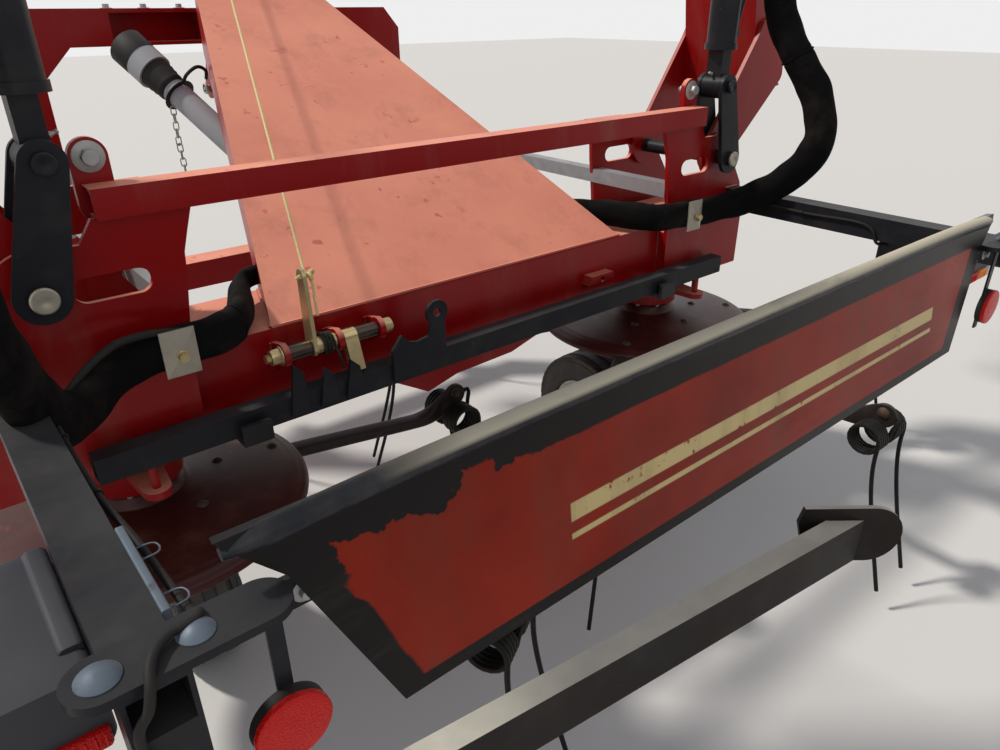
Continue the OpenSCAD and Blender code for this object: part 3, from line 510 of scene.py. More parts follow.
def moulded(name, base, rough=0.5, mottle=0.25):
    """Moulded plastic or rubber sleeve with a fine grain and light soiling."""
    f = Finish(name)
    cloud = f.noise(7.0, 5.0, 0.6)
    tone = f.mix(f.spread(cloud, 0.35, 0.7, 0.0, mottle), base, DUST)
    f.bump(f.noise(200.0, 3.0), 0.12, 0.0004)
    return f.done(tone, f.spread(cloud, 0.3, 0.7, rough, min(1.0, rough + 0.2)), Specular_IOR_Level=0.25)


def braided(name):
    """Twisted cord: two pale colours wound round it."""
    f = Finish(name)
    twist = f.spread(f.noise(420.0, 2.0), 0.40, 0.60)
    f.bump(twist, 0.5, 0.0008)
    return f.done(f.mix(twist, (0.66, 0.53, 0.20), (0.80, 0.70, 0.38)), 0.85)


RED = red_enamel("red enamel")
WING_RED = red_enamel("wing red enamel", 0.45)
LATCH_RED = red_enamel("latch red enamel", 0.60, black_from=0.58)
BLACK = black_enamel("black enamel")
BEAM_BLACK = black_enamel("rail black", 0.30)
# Rear bar: its pale top is partly dust and partly painted sunlight
BAR_BLACK = black_enamel("rear bar black", 0.95, (0.014, 0.009, 0.006), (0.66, 0.62, 0.52), 0.70)
# Rotor discs: a very dark red, partly their own dark paint and partly painted shade
ROTOR_RED_SHADED = red_enamel("rotor red", 0.30, (0.048, 0.005, 0.004), (0.080, 0.032, 0.024))
RIM_PAINT = bare_metal("rim paint", (0.62, 0.60, 0.54), RUST, 0.55, (0.5, 0.7), 0.0)
GREY = bare_metal("galvanised", (0.36, 0.37, 0.38), RUST, 0.22, (0.45, 0.62), 0.6)
ZINC = bare_metal("yellow zinc", (0.60, 0.48, 0.26), RUST, 0.35, (0.30, 0.5), 0.9)
CHROME = bare_metal("rod chrome", (0.72, 0.72, 0.73), RUST, 0.05, (0.10, 0.2), 1.0)
WIRE_STEEL = bare_metal("spring wire", (0.008, 0.007, 0.006), RUST, 0.14, (0.38, 0.55), 0.0, 0.16)
OLD_BOLT = bare_metal("old bolts", (0.075, 0.052, 0.042), RUST, 0.35, (0.45, 0.7), 0.4, 0.25)
TYRE = tyre_rubber("tyre rubber")
SHAFT_GUARD = moulded("shaft guard", (0.33, 0.35, 0.37), 0.42, 0.2)
LAMP_GREY = moulded("lamp housing", (0.034, 0.037, 0.045), 0.42, 0.03)
LENS_RED = prism_lens("reflector lens", (0.62, 0.006, 0.003))
LENS_AMBER = moulded("amber lens", (0.80, 0.22, 0.02), 0.22, 0.12)
LENS_CLEAR = moulded("clear lens", (0.62, 0.63, 0.62), 0.22, 0.15)
RUBBER = moulded("black rubber", (0.008, 0.008, 0.008), 0.55, 0.03)
PLATED = bare_metal("plated bolts", (0.40, 0.40, 0.39), RUST, 0.35, (0.48, 0.68), 0.55)
PANEL = worn_panel("guard panel")
LIP = dust_and_sunlight_lip("panel lip")
SLEEVE = woven_sleeve("hose sleeve")
DOME_STEEL = bare_metal("strap domes", (0.125, 0.155, 0.190), (0.030, 0.026, 0.022), 0.85, (0.48, 0.68), 0.35, 0.3)
LATCH_STEEL = bare_metal("latch tube", (0.075, 0.058, 0.045), RUST, 0.2, (0.22, 0.38), 0.75)
ARM_BROWN = black_enamel("arm brown", 0.35, (0.022, 0.014, 0.011))
PIN_STEEL = bare_metal("pin ends", (0.40, 0.36, 0.29), RUST, 0.15, (0.35, 0.5), 0.55)
ROPE = braided("pull cord")

# The first beginning that fits a node's name gives its finish; the others are red
NODE_FINISH = (
    ("guard_arms", BLACK), ("guard_straps", BLACK), ("hinge_links", BLACK), ("barrel", BLACK), ("rear_bar", BAR_BLACK),
    ("guard_panel", PANEL), ("steering_rail", BEAM_BLACK), ("wing_rail", BEAM_BLACK), ("wing", WING_RED),
    ("rotor", ROTOR_RED_SHADED), ("tyre", TYRE), ("rim", RIM_PAINT), ("stand", GREY), ("side_stops", GREY), ("rod", CHROME),
    ("latch_bracket", LATCH_RED), ("latch_lever", ZINC), ("drive_shaft", SHAFT_GUARD), ("lamp_boxes", LAMP_GREY),
    ("reflectors", RUBBER), ("hoses", SLEEVE), ("pull_rope", ROPE))

for name, node in nodes.items():
    finish = next((look for beginning, look in NODE_FINISH if name.startswith(beginning)), RED)
    for k in range(len(node.material_slots)):
        node.material_slots[k].material = finish


# Fastenings

def loft(line, width, height, power=4.0, steady=UP, sides=20):
    """A bar with the section |a / w|^n + |b / h|^n = 1; the half sizes w and h change along the line."""
    line = np.array(line, float)
    t = round_angles(sides)
    a = np.sign(np.cos(t)) * np.abs(np.cos(t)) ** (2 / power)
    b = np.sign(np.sin(t)) * np.abs(np.sin(t)) ** (2 / power)
    side, up = across(line, steady)
    share = np.linspace(0, 1, len(line))
    w = np.interp(share, np.linspace(0, 1, len(width)), width)
    h = np.interp(share, np.linspace(0, 1, len(height)), height)
    grid = (line[:, None, :] + (w[:, None] * a)[..., None] * side[:, None, :]
            + (h[:, None] * b)[..., None] * up[:, None, :])
    return outward(skin(grid))


def hex_head(flats, height):
    """A hexagon, radius = (flats / 2) / cos(t mod 60 deg - 30 deg), whose top ring stays inside a circle."""
    t = round_angles(24)
    edge = flats / 2 / np.cos(np.mod(t, np.pi / 3) - np.pi / 6)
    rings = [(edge, 0.0), (edge, 0.82 * height), (np.minimum(edge, 0.5 * flats), height)]
    grid = np.stack([np.stack([r * np.cos(t), r * np.sin(t), np.full(24, z)], -1) for r, z in rings])
    return outward(skin(grid))


def hex_bolt(flats, washer=2.1):
    """A washer with a hexagon head on it."""
    thick = 0.11 * flats
    ring = spun([(0.5 * washer * flats, 0), (0.5 * washer * flats, 0.8 * thick), (0.48 * washer * flats, thick)])
    return joined([ring, shifted(hex_head(flats, 0.62 * flats), (0, 0, thick))])


def hex_nut(flats, washer=2.1):
    """A washer, a nut and the end of its bolt with turned threads: r = r0 (1 + 0.05 (-1)^k)."""
    turns = np.linspace(0, 1, 13)
    stem = [(0.30 * flats * (1 + 0.05 * (-1) ** k), flats * (0.7 + 0.35 * u)) for k, u in enumerate(turns)]
    return joined([hex_bolt(flats, washer), spun(stem, 16)])


def dome_head(radius):
    """A low domed head: height h = 0.55 r (1 - (d / r)^2) over a short rim."""
    d = np.linspace(1, 0.1, 7)
    return spun([(radius, 0)] + [(radius * k, radius * (0.10 + 0.50 * (1 - k ** 2))) for k in d], 24)


def pin_cap(radius, height):
    """A turned disc with a chamfer and a shallow centre mark."""
    c = 0.12 * radius
    return spun([(radius, 0), (radius, height - c), (radius - c, height), (0.35 * radius, height),
                 (0.25 * radius, height - 0.5 * c)], 28)


def clip(size, thick=0.0016):
    """A spring clip bent from wire: a straight leg, a round eye and a waved leg, in the plane of X and Z."""
    t = np.linspace(-0.5 * np.pi, 1.5 * np.pi, 14)
    eye = [(0.22 * size * math.cos(a), 0, 0.22 * size * math.sin(a) + 0.22 * size) for a in t]
    waved = [(0.30 * size, 0, -0.05 * size), (0.55 * size, 0, 0.10 * size), (0.80 * size, 0, -0.02 * size),
             (1.0 * size, 0, 0.08 * size)]
    return wire([(1.05 * size, 0, -0.12 * size), (0.4 * size, 0, -0.12 * size)] + eye + waved, thick, 6, 4)


def bead(points, radius=0.0035, steady=UP):
    """A weld: a round line whose radius ripples as r (1 + 0.14 sin(2 pi s / 6 mm))."""
    p = np.array(points, float)
    s = run(p)
    at = np.arange(0, s[-1], 0.003)
    swell = 1 + 0.14 * np.sin(2 * np.pi * at / 0.006)
    return drawn(part_way(p, s, at), round_outline(radius, 6), steady, swell=swell)


def chain_link(length, thick):
    """An oval ring: a stadium line, two half turns of radius r joined by straights, in the plane of X and Z."""
    r = 0.28 * length
    t = np.linspace(0, np.pi, 9)
    top = np.stack([r * np.cos(t), 0 * t, 0.5 * length - r + r * np.sin(t)], -1)
    low = np.stack([-r * np.cos(t), 0 * t, -0.5 * length + r - r * np.sin(t)], -1)
    line = np.vstack([top, low])
    out = unit(line - line.mean(0))
    level = np.array(AHEAD, float)
    t = round_angles(8)
    grid = line[:, None, :] + thick * (np.cos(t)[None, :, None] * out[:, None, :]
                                       + np.sin(t)[None, :, None] * level)
    return outward(skin(grid, "loop"))


def chain(points, length=0.026, thick=0.0022):
    """Links threaded along a line, each turned a quarter from the one before."""
    p = np.array(points, float)
    s = run(p)
    step = length - 2.2 * thick
    links = []
    for k, at in enumerate(np.arange(0.5 * step, s[-1], step)):
        here = part_way(p, s, at)
        ahead = part_way(p, s, at + 0.002) - here
        one = turned(chain_link(length, thick), 0.5 * np.pi * (k % 2), UP)
        links.append(pointed(one, ahead if np.linalg.norm(ahead) > 1e-6 else DOWN, here))
    return joined(links)


def sized(shell, direction, x, y, z):
    """A fitting laid along a direction at a place counted from the beam's centre."""
    return on_beam(pointed(shell, direction, (x, y, z)))


# Rotors

# Each rotor's axis on the right, with the wings in their working place
ROTOR_X = 0.810
OUTER_X = 2.430
DISC_R, DISC_Z, NECK_R = 0.345, 0.575, 0.060
COIL_AT, COIL_Z, COIL_R = 0.812, 0.486, 0.0400
TIP_AT, TIP_Z, WIRE_R = 0.948, 0.063, 0.0055
ARMS, COIL_TURNS = 6, 5
# The prong stands this far to each side of its arm, and the coil's inner end this far
PRONG_Y, COIL_IN = 0.0730, 0.0185


def at_rotor(shell, side, where):
    """From a rotor's own axis to its place on the machine."""
    return standing(shifted(shell, (ROTOR_X if where == "inner" else OUTER_X, 0, 0)), side, where)


def disc_shell():
    """A pressed disc: a lathe profile with a raised hub, a shallow dish, a bead near the rim and a rolled edge."""
    edge_t = np.linspace(0.5 * np.pi, -0.5 * np.pi, 9)
    roll = [(DISC_R - 0.012 + 0.012 * math.cos(a), DISC_Z - 0.013 + 0.012 * math.sin(a)) for a in edge_t]
    top = [(NECK_R + 0.001, DISC_Z + 0.058), (0.084, DISC_Z + 0.058), (0.089, DISC_Z + 0.053),
           (0.096, DISC_Z + 0.034), (0.108, DISC_Z + 0.029), (0.200, DISC_Z + 0.022),
           (0.300, DISC_Z + 0.010), (0.310, DISC_Z + 0.0085), (0.315, DISC_Z + 0.0060),
           (0.320, DISC_Z + 0.0062), (0.326, DISC_Z + 0.0030)]
    low = [(DISC_R - 0.016, DISC_Z - 0.025), (DISC_R - 0.018, DISC_Z - 0.010), (0.296, DISC_Z + 0.002),
           (0.100, DISC_Z + 0.016), (0.088, DISC_Z - 0.014), (NECK_R + 0.001, DISC_Z - 0.014)]
    return spun(top + roll + low, 96, "loop")


def arm_shell():
    """A round-edged bar from under the disc, bent down and then up into a flat eye that stands on edge."""
    line = eased([(0.245, 0, 0.560), (0.330, 0, 0.553), (0.500, 0, 0.530), (0.660, 0, 0.507),
                  (0.715, 0, 0.502), (0.760, 0, 0.510), (0.800, 0, 0.528), (0.822, 0, 0.538)], 6)
    bar = loft(line, [0.024] * 5 + [0.020, 0.008, 0.006, 0.006], [0.014] * 5 + [0.019, 0.029, 0.033, 0.033], 3.6)
    eye = pointed(spun([(0.0315, -0.006), (0.033, -0.0045), (0.033, 0.0045), (0.0315, 0.006)], 28),
                  AHEAD, (0.822, 0, 0.538))
    return joined([bar, eye])


def spring_shell():
    """One wire for both prongs: down the prong, round the coil as a helix (r cos t, y, r sin t),
    over the bolt and back through the mirror image."""
    turn = np.linspace(0, 2 * np.pi * COIL_TURNS, 18 * COIL_TURNS + 1)
    y = np.interp(turn, [0, turn[-1]], [PRONG_Y, COIL_IN])
    coil = np.stack([COIL_AT + COIL_R * np.cos(turn), y, COIL_Z + COIL_R * np.sin(turn)], -1)
    prong = eased([(TIP_AT - WIRE_R, PRONG_Y, TIP_Z), (0.918, PRONG_Y, 0.148), (0.892, PRONG_Y, 0.235),
                   (0.868, PRONG_Y, 0.330), (0.856, PRONG_Y, 0.395), (0.852, PRONG_Y, 0.440),
                   (0.852, PRONG_Y, 0.476)], 7)
    bridge = eased([(0.8525, 0.0180, 0.492), (0.8570, 0.0155, 0.518), (0.8655, 0.0095, 0.536),
                    (0.8685, 0.0, 0.542)], 6)
    half = np.vstack([prong[:-1], coil[:-1], bridge])
    line = np.vstack([half, (half * (1, -1, 1))[::-1][1:]])
    return drawn(line, round_outline(WIRE_R, 8), (0.31, 0.94, 0.17))


def arm_bolts():
    """The eye's domed bolt and nut, and two bolts that hold the arm under the disc."""
    parts = [pointed(dome_head(0.0160), REAR, (0.820, -0.006, 0.546)),
             pointed(hex_nut(0.017, 1.5), AHEAD, (0.820, 0.006, 0.548)),
             pointed(spun([(0.0145, 0), (0.0145, 0.030), (0.012, 0.031)], 20), AHEAD, (0.815, -0.0155, 0.495))]
    for r, z in ((0.292, DISC_Z + 0.0102), (0.165, DISC_Z + 0.0238)):
        parts.append(pointed(dome_head(0.0125), (0.06, 0, 1), (r, 0, z)))
        parts.append(pointed(hex_nut(0.017), DOWN, (r, 0, DISC_Z - 0.030 if r > 0.25 else DISC_Z + 0.006)))
    return joined(parts)


def ring_of(shell, count, phase):
    """Copies turned evenly about the rotor's axis."""
    return joined([turned(shell, phase + 2 * np.pi * k / count, UP) for k in range(count)])


def add_rotors():
    """Four tined rotors: pressed discs, arms, springs and bolts in place of the plain nodes."""
    for side in SIDES:
        for where in ("inner", "outer"):
            name = where + "_" + SIDE_NAME[side]
            turned_half = (side > 0) == (where == "inner")
            phase = math.pi / ARMS if turned_half else 0.0
            body = "rotor_" + name
            make("disc_" + name, at_rotor(disc_shell(), side, where), ROTOR_RED_SHADED, body,
                 stands_for=body)
            for kind, one, finish, slot in (("tine_arms_", arm_shell(), ARM_BROWN, "rotor_paint"),
                                            ("springs_", spring_shell(), WIRE_STEEL, "rod_steel"),
                                            ("arm_bolts_", arm_bolts(), OLD_BOLT, "rod_steel")):
                make(kind + name, at_rotor(ring_of(one, ARMS, phase), side, where), finish, body)


add_rotors()


# Fittings on the frame

BEAM_HALF, BEAM_TOP = 1.000, 0.922
LATCH_Y, LATCH_Z = -0.165, 0.880
TOWER_FRONT, NOSE_TOP, TOWER_BASE_HALF = 1.060, 1.6282, 0.520
CYL_Y = -0.152


def both(parts):
    """Shells for the right side with their mirror images; the list is counted from the beam's centre."""
    return [shell for part in parts for shell in (part, mirrored(part))]


# The circle of bolts round a gear housing's foot: its radius and height
FOOT_R, FOOT_Z = 0.080, 0.640


def housing_bolts(x):
    """Six of the eight bolts round a gear housing's foot, without the two in front."""
    angles = [math.pi / 4 * (k + 0.5) for k in range(8)]
    return [pointed(hex_bolt(0.013), DOWN, (x + FOOT_R * math.cos(a), FOOT_R * math.sin(a), FOOT_Z))
            for a in angles if math.sin(a) < 0.5]


def add_frame_bolts():
    """Bolts, nuts and pin caps of the frame in plated steel; the latch's nuts in yellow zinc and the strap's domes in
    their own steel.
    """
    right = [
        sized(hex_bolt(0.013), REAR, 0.905, -0.911, 0.978),
        sized(hex_bolt(0.013), REAR, 0.830, -0.911, 0.978),
        sized(hex_bolt(0.024), REAR, 0.775, -0.124, 1.292),
        sized(hex_nut(0.024), AHEAD, 0.775, -0.110, 1.292),
        sized(pin_cap(0.027, 0.008), AHEAD, 0.900, 0.165, 1.100)]
    right += [sized(hex_bolt(0.017), RIGHT, BEAM_HALF, y, z) for z in (0.752, 0.882) for y in (-0.085, 0.085)]
    right += [on_beam(bolt) for bolt in housing_bolts(ROTOR_X)]
    middle = [sized(hex_bolt(0.016), AHEAD, x, 0.240, z) for z in (0.740, 0.825) for x in (-0.105, 0.105)]
    for k in range(6):
        a = math.pi / 3 * k
        middle.append(sized(hex_bolt(0.010), AHEAD, 0.047 * math.cos(a), 0.300, 0.781 + 0.047 * math.sin(a)))
    make("frame_bolts", both(right) + middle, PLATED, "frame")
    nuts = [sized(hex_nut(0.030, 1.35), LEFT, -0.527, LATCH_Y, LATCH_Z),
            sized(hex_bolt(0.030, 1.35), RIGHT, -0.293, LATCH_Y, LATCH_Z)]
    make("latch_nuts", nuts, ZINC, "frame")
    domes = [sized(dome_head(radius), UP, x, -0.932, 1.0095) for radius, x in ((0.0190, 1.020), (0.0175, 0.940))]
    make("strap_domes", both(domes), DOME_STEEL, "frame")


def add_welds():
    """Weld beads along the tower's foot, the brackets, the ribs and the tubes."""
    right = [
        bead([(TOWER_BASE_HALF, -0.118, BEAM_TOP + 0.001), (0.446, 0.118, BEAM_TOP + 0.001)], 0.0045),
        bead([(0.690, -0.119, 0.906), (0.770, -0.119, 0.906)]),
        bead([(0.690, -0.121, 0.750), (0.690, -0.121, 0.905)], steady=RIGHT),
        bead([(0.770, -0.121, 0.750), (0.770, -0.121, 0.905)], steady=RIGHT),
        bead([(0.956, -0.155, 0.940), (0.956, -0.155, 1.000), (1.014, -0.155, 1.000)], steady=(1, 0.2, 0)),
        bead([(0.640, -0.155, 1.199), (0.790, -0.155, 1.199)])]
    foot = [(x, -0.119, BEAM_TOP + 0.002) for x in (-TOWER_BASE_HALF, TOWER_BASE_HALF)]
    middle = [bead(foot, 0.0045), bead([(-0.955, -0.925, 0.663), (-0.953, -0.889, 0.663)])]
    for x in (-0.520, -0.400, -0.300):
        middle.append(bead([(x - 0.007, -0.121, 0.833), (x - 0.007, -0.121, 0.893)], steady=RIGHT))
    make("welds", [on_beam(w) for w in both(right) + middle], RED, "frame")


def add_hinge_trim():
    """Turned ends of the hinges' and the cylinders' pins, and two grease nipples a side."""
    make("hinge_pin_ends", both([sized(pin_cap(0.0215, 0.006), REAR, 0.900, -0.205, 1.100)]), PIN_STEEL, "frame")
    # The cylinders' pin ends are black as painted shade: they lie in shadow
    make("cylinder_pin_ends", both([sized(pin_cap(0.0175, 0.005), REAR, 0.850, -0.205, 1.300),
                                    sized(pin_cap(0.0175, 0.005), AHEAD, 0.850, -0.099, 1.300)]), BLACK, "frame")
    nipple = spun([(0.0045, 0), (0.0045, 0.004), (0.003, 0.006), (0.003, 0.010), (0.0042, 0.012), (0.002, 0.015)], 12)
    places = ((0.876, -0.190, 1.160), (0.826, -0.150, 1.333))
    make("hinge_trim", both([sized(nipple, (-1, 0, 0.3), *place) for place in places]), PLATED, "frame")


def box_bar(length, width, height, corner=0.002):
    """A short flat bar along X with rounded edges, from z = 0 up."""
    line = np.array([(-length / 2, 0, height / 2), (-length / 2 + 0.0005, 0, height / 2),
                     (length / 2 - 0.0005, 0, height / 2), (length / 2, 0, height / 2)])
    return drawn(line, box_outline(width, height, min(corner, 0.45 * height)), swell=(0.9, 1, 1, 0.9))


def add_panel_lip():
    """The guard panel's rounded upper edge: a smooth roll that fades at both ends, as one drawn line."""
    half, top = 0.900, 1.066
    x = np.linspace(-half, half, 60)
    line = np.stack([x, np.full(60, -0.904), top - 0.010 * (np.abs(x) / half) ** 8], -1)
    swell = np.clip((half - np.abs(x)) / 0.02, 0.25, 1.0) ** 0.5
    roll = drawn(line, round_outline(0.0135, 16), swell=swell)
    make("panel_lip", on_beam(roll), LIP, "frame")


def add_reflectors():
    """Round red lenses on dark holders: a lathe disc with a rounded rim and a low dome, h = 1 mm (1 - (d / r)^2)."""
    d = np.linspace(1, 0, 8, endpoint=False)
    lens = [(0.0398, 0.0), (0.0405, 0.0008), (0.0405, 0.0062), (0.0396, 0.0074)]
    lens += [(0.0390 * k, 0.0078 + 0.001 * (1 - k ** 2)) for k in d]
    make("reflector_lenses", both([sized(spun(lens, 56), REAR, 0.880, -0.957, 0.866)]), LENS_RED, "frame")


def add_lamps():
    """Rounded lamp bodies over the plain boxes, a ridge on top and a low strip of three lenses facing rearwards."""
    x0, x1, y0, y1, z0, z1 = 1.015, 1.200, -0.853, -0.618, 0.855, 0.950
    line = np.array([(0.5 * (x0 + x1), y, 0.5 * (z0 + z1)) for y in (y0, y0 + 0.006, y1 - 0.03, y1 - 0.008, y1)])
    shape = box_outline(x1 - x0, z1 - z0, 0.012, 4)
    body = drawn(line, shape, swell=(0.975, 1.0, 1.0, 0.97, 0.90))
    ridge_line = np.array([(x0 + 0.014, y, z1 - 0.002) for y in (y0 + 0.040, y0 + 0.044, y1 - 0.014, y1 - 0.010)])
    ridge = drawn(ridge_line, box_outline(0.026, 0.016, 0.0075, 6), swell=(0.85, 1.0, 1.0, 0.85))
    make("lamp_bodies", both([on_beam(body), on_beam(ridge)]), LAMP_GREY, "frame",
         stands_for="lamp_boxes")
    spans = (("lamp_red", LENS_RED, 1.021, 1.085), ("lamp_amber", LENS_AMBER, 1.088, 1.142),
             ("lamp_clear", LENS_CLEAR, 1.145, 1.194))
    for name, finish, a, b in spans:
        lens_line = [(0.5 * (a + b), y0 + y, z0 + 0.015) for y in (0.001, -0.004, -0.007, -0.008)]
        lens = drawn(lens_line, box_outline(b - a, 0.024, 0.004, 3), swell=(1.0, 1.0, 0.95, 0.86))
        ribs = [drawn([(a + 0.006 + k * 0.009, y0 - 0.0078, z0 + z) for z in (0.007, 0.023)],
                      round_outline(0.0014, 6), RIGHT) for k in range(int((b - a - 0.008) / 0.009))]
        make(name, both([on_beam(s) for s in [lens] + ribs]), finish, "frame")


def add_arm_fittings():
    """A plated strip with two wire clips on the left guard arm, and both lamps' cables with their ties."""
    strip = turned(box_bar(0.160, 0.009, 0.042), math.pi / 2, UP)
    parts = [sized(strip, UP, -0.9503, -0.800, 0.961)]
    for y in (-0.760, -0.850):
        loop = [(-0.9465, y - 0.014, 0.990), (-0.934, y - 0.014, 0.990), (-0.926, y - 0.010, 0.989),
                (-0.923, y, 0.988), (-0.926, y + 0.010, 0.987), (-0.934, y + 0.014, 0.986), (-0.9465, y + 0.014, 0.986)]
        parts.append(on_beam(wire(loop, 0.0011, 8, 6)))
    make("arm_strip", parts, DOME_STEEL, "frame")
    cable = [(-0.948, -0.200, 0.985), (-0.949, -0.420, 0.972), (-0.948, -0.600, 0.978), (-0.936, -0.720, 0.972),
             (-0.930, -0.860, 0.980), (-0.930, -0.912, 1.012), (-0.940, -0.926, 1.0175), (-0.957, -0.927, 1.0175),
             (-0.972, -0.936, 1.0175), (-0.984, -0.953, 1.0160), (-0.990, -0.968, 1.008), (-0.996, -0.972, 0.990),
             (-1.008, -0.970, 0.965), (-1.004, -0.968, 0.900), (-1.000, -0.967, 0.800), (-1.002, -0.967, 0.690)]
    other = [(0.950, -0.200, 0.985), (0.951, -0.420, 0.975), (0.950, -0.600, 0.978), (0.955, -0.640, 0.935),
             (1.000, -0.645, 0.925), (1.030, -0.640, 0.915)]
    tie = spun([(0.006, -0.002), (0.0072, -0.002), (0.0072, 0.002), (0.006, 0.002)], 14)
    ties = [sized(tie, AHEAD, x, y, z)
            for x, y, z in ((-0.949, -0.42, 0.972), (-0.948, -0.60, 0.978), (0.951, -0.42, 0.975))]
    make("lamp_cables", [on_beam(wire(cable, 0.0047, 10, 8, (1, 0, 0.15))), on_beam(wire(other, 0.0042, 8, 6))] + ties,
         RUBBER, "frame")


# Hoses and the shaft

# From the tower's side, down over the beam and along the rear of the bracket
ALONG_BEAM = [(0.435, 0.060, 0.978), (0.478, 0.060, 0.977), (0.508, 0.038, 0.974), (0.540, -0.030, 0.970),
              (0.568, -0.100, 0.969), (0.605, -0.160, 0.968), (0.650, -0.186, 0.967), (0.720, -0.190, 0.966),
              (0.790, -0.191, 0.960)]
# From the bracket rearwards in a loop and up beside the cylinder; the left one sags lower
LOOP = {1: [(0.850, -0.215, 0.968), (0.905, -0.270, 0.995), (0.950, -0.345, 1.050), (0.985, -0.395, 1.120)],
        -1: [(0.850, -0.212, 0.945), (0.905, -0.270, 0.932), (0.950, -0.345, 0.975), (0.985, -0.395, 1.075)]}
LOOP_TOP = [(1.000, -0.405, 1.190), (0.990, -0.375, 1.290), (0.965, -0.320, 1.380), (0.955, -0.265, 1.470),
            (0.950, -0.235, 1.580), (0.950, -0.215, 1.660)]
SLEEVE_WIDE, SLEEVE_THIN = 0.040, 0.0265
# Never in line with any stretch of the route, so the flat section doesn't flip
SLEEVE_STEADY = (0.7, 0.7, 0.0)
SPAN_RINGS = 14
# Half the length of a ring that binds the sleeve, and how far it narrows the sleeve under it
BIND_HALF, BIND_SQUEEZE = 0.003, 0.94
# Sets the creases of the two sides apart
CREASE_SHIFT = 0.13


def sleeve(line, s, swell, phase):
    """The flat section along the line, creased as
    1 + 0.045 sin(2t + s / 50 mm) sin(s / 19 mm) + 0.018 sin(5t - s / 16 mm)."""
    side, up = across(line, SLEEVE_STEADY)
    t = round_angles(28)
    along = s[:, None] + phase
    crease = 1 + 0.045 * np.sin(2 * t + along / 0.050) * np.sin(along / 0.019) + 0.018 * np.sin(5 * t - along / 0.016)
    a = SLEEVE_WIDE * np.cos(t) * crease * swell[:, None]
    b = SLEEVE_THIN * np.sin(t) * crease * swell[:, None]
    return outward(skin(line[:, None, :] + a[..., None] * side[:, None, :] + b[..., None] * up[:, None, :]))


def oval(scale=1.0, sides=24):
    """The sleeve's flat section: (w cos t, h sin t)."""
    return round_outline(1.0, sides) * (scale * SLEEVE_WIDE, scale * SLEEVE_THIN)


def binding(line, k, size):
    """A short tight ring round the sleeve at point k of its line."""
    along = line[k + 1] - line[k - 1]
    ring = line[k] + np.outer([-BIND_HALF, BIND_HALF], along / np.linalg.norm(along))
    return drawn(ring, oval(size), SLEEVE_STEADY)


def creased_plate(wide, high, rise, thick):
    """A pressed plate facing rearwards, its four flat sides rising from the corners to the middle."""
    corners = [(-wide / 2, -high / 2), (wide / 2, -high / 2), (wide / 2, high / 2), (-wide / 2, high / 2)]
    points = [(x, -thick, z) for x, z in corners] + [(0, -thick - rise, 0)]
    points += [(x, 0, z) for x, z in corners] + [(0, -rise, 0)]
    faces = []
    for k in range(4):
        after = (k + 1) % 4
        faces += [[k, after, 4], [5 + after, 5 + k, 9], [k, 5 + k, 5 + after, after]]
    return outward((np.array(points, float), faces))


def add_hoses():
    """Flat woven sleeves: from the tower to the bracket on the frame, then as a loop that follows the cylinder."""
    fixed, plates, bolts = [], [], []
    cut = (len(ALONG_BEAM) - 1) * SPAN_RINGS
    low_ring, high_ring = 5 * SPAN_RINGS, cut + 7 * SPAN_RINGS
    for side in SIDES:
        line = eased(ALONG_BEAM + LOOP[side] + LOOP_TOP, SPAN_RINGS)
        s = run(line)
        swell = np.interp(s, [0, 0.07, 0.17, 0.5, 0.75, s[-1] - 0.05, s[-1]],
                          [0.56, 0.60, 0.94, 0.96, 1.10, 1.0, 0.60])
        swell[[low_ring, high_ring]] *= BIND_SQUEEZE
        fixed.append((side, binding(line, low_ring, 0.98)))
        fixed.append((side, sleeve(line[:cut + 1], s[:cut + 1], swell[:cut + 1], CREASE_SHIFT * side)))
        end_pipe = [(0.950, -0.222, 1.630), (0.951, -0.208, 1.690), (0.966, -0.180, 1.722), (0.968, -0.160, 1.730),
                    (0.953, -0.152, 1.730)]
        loop = [sleeve(line[cut:], s[cut:], swell[cut:], CREASE_SHIFT * side), binding(line, high_ring, 1.10),
                wire(end_pipe, 0.0115, 12, 8, SLEEVE_STEADY)]
        piece = make("feed_hose_" + SIDE_NAME[side], on_side(on_beam(joined(loop)), side), SLEEVE, None)
        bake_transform(piece)
        plates.append((side, shifted(creased_plate(0.060, 0.086, 0.009, 0.003), (0.725, -0.2165, 0.965))))
        bolts.append((side, pointed(hex_bolt(0.017, 1.2), REAR, (0.725, -0.2280, 0.962))))

    def placed(parts):
        return [on_beam(on_side(shell, side)) for side, shell in parts]

    make("hose_sleeves", placed(fixed), SLEEVE, "frame", stands_for="hoses")
    make("hose_plates", placed(plates), PIN_STEEL, "frame", smooth=False)
    make("hose_plate_bolts", placed(bolts), ZINC, "frame")
    loose = [(-0.700, -0.205, 0.995), (-0.745, -0.208, 1.006), (-0.785, -0.216, 1.012), (-0.830, -0.228, 1.010),
             (-0.880, -0.240, 0.985), (-0.925, -0.262, 0.955), (-0.955, -0.300, 0.950), (-0.975, -0.340, 0.985)]
    make("loose_line", on_beam(wire(loose, 0.0065, 12, 10)), RUBBER, "frame")


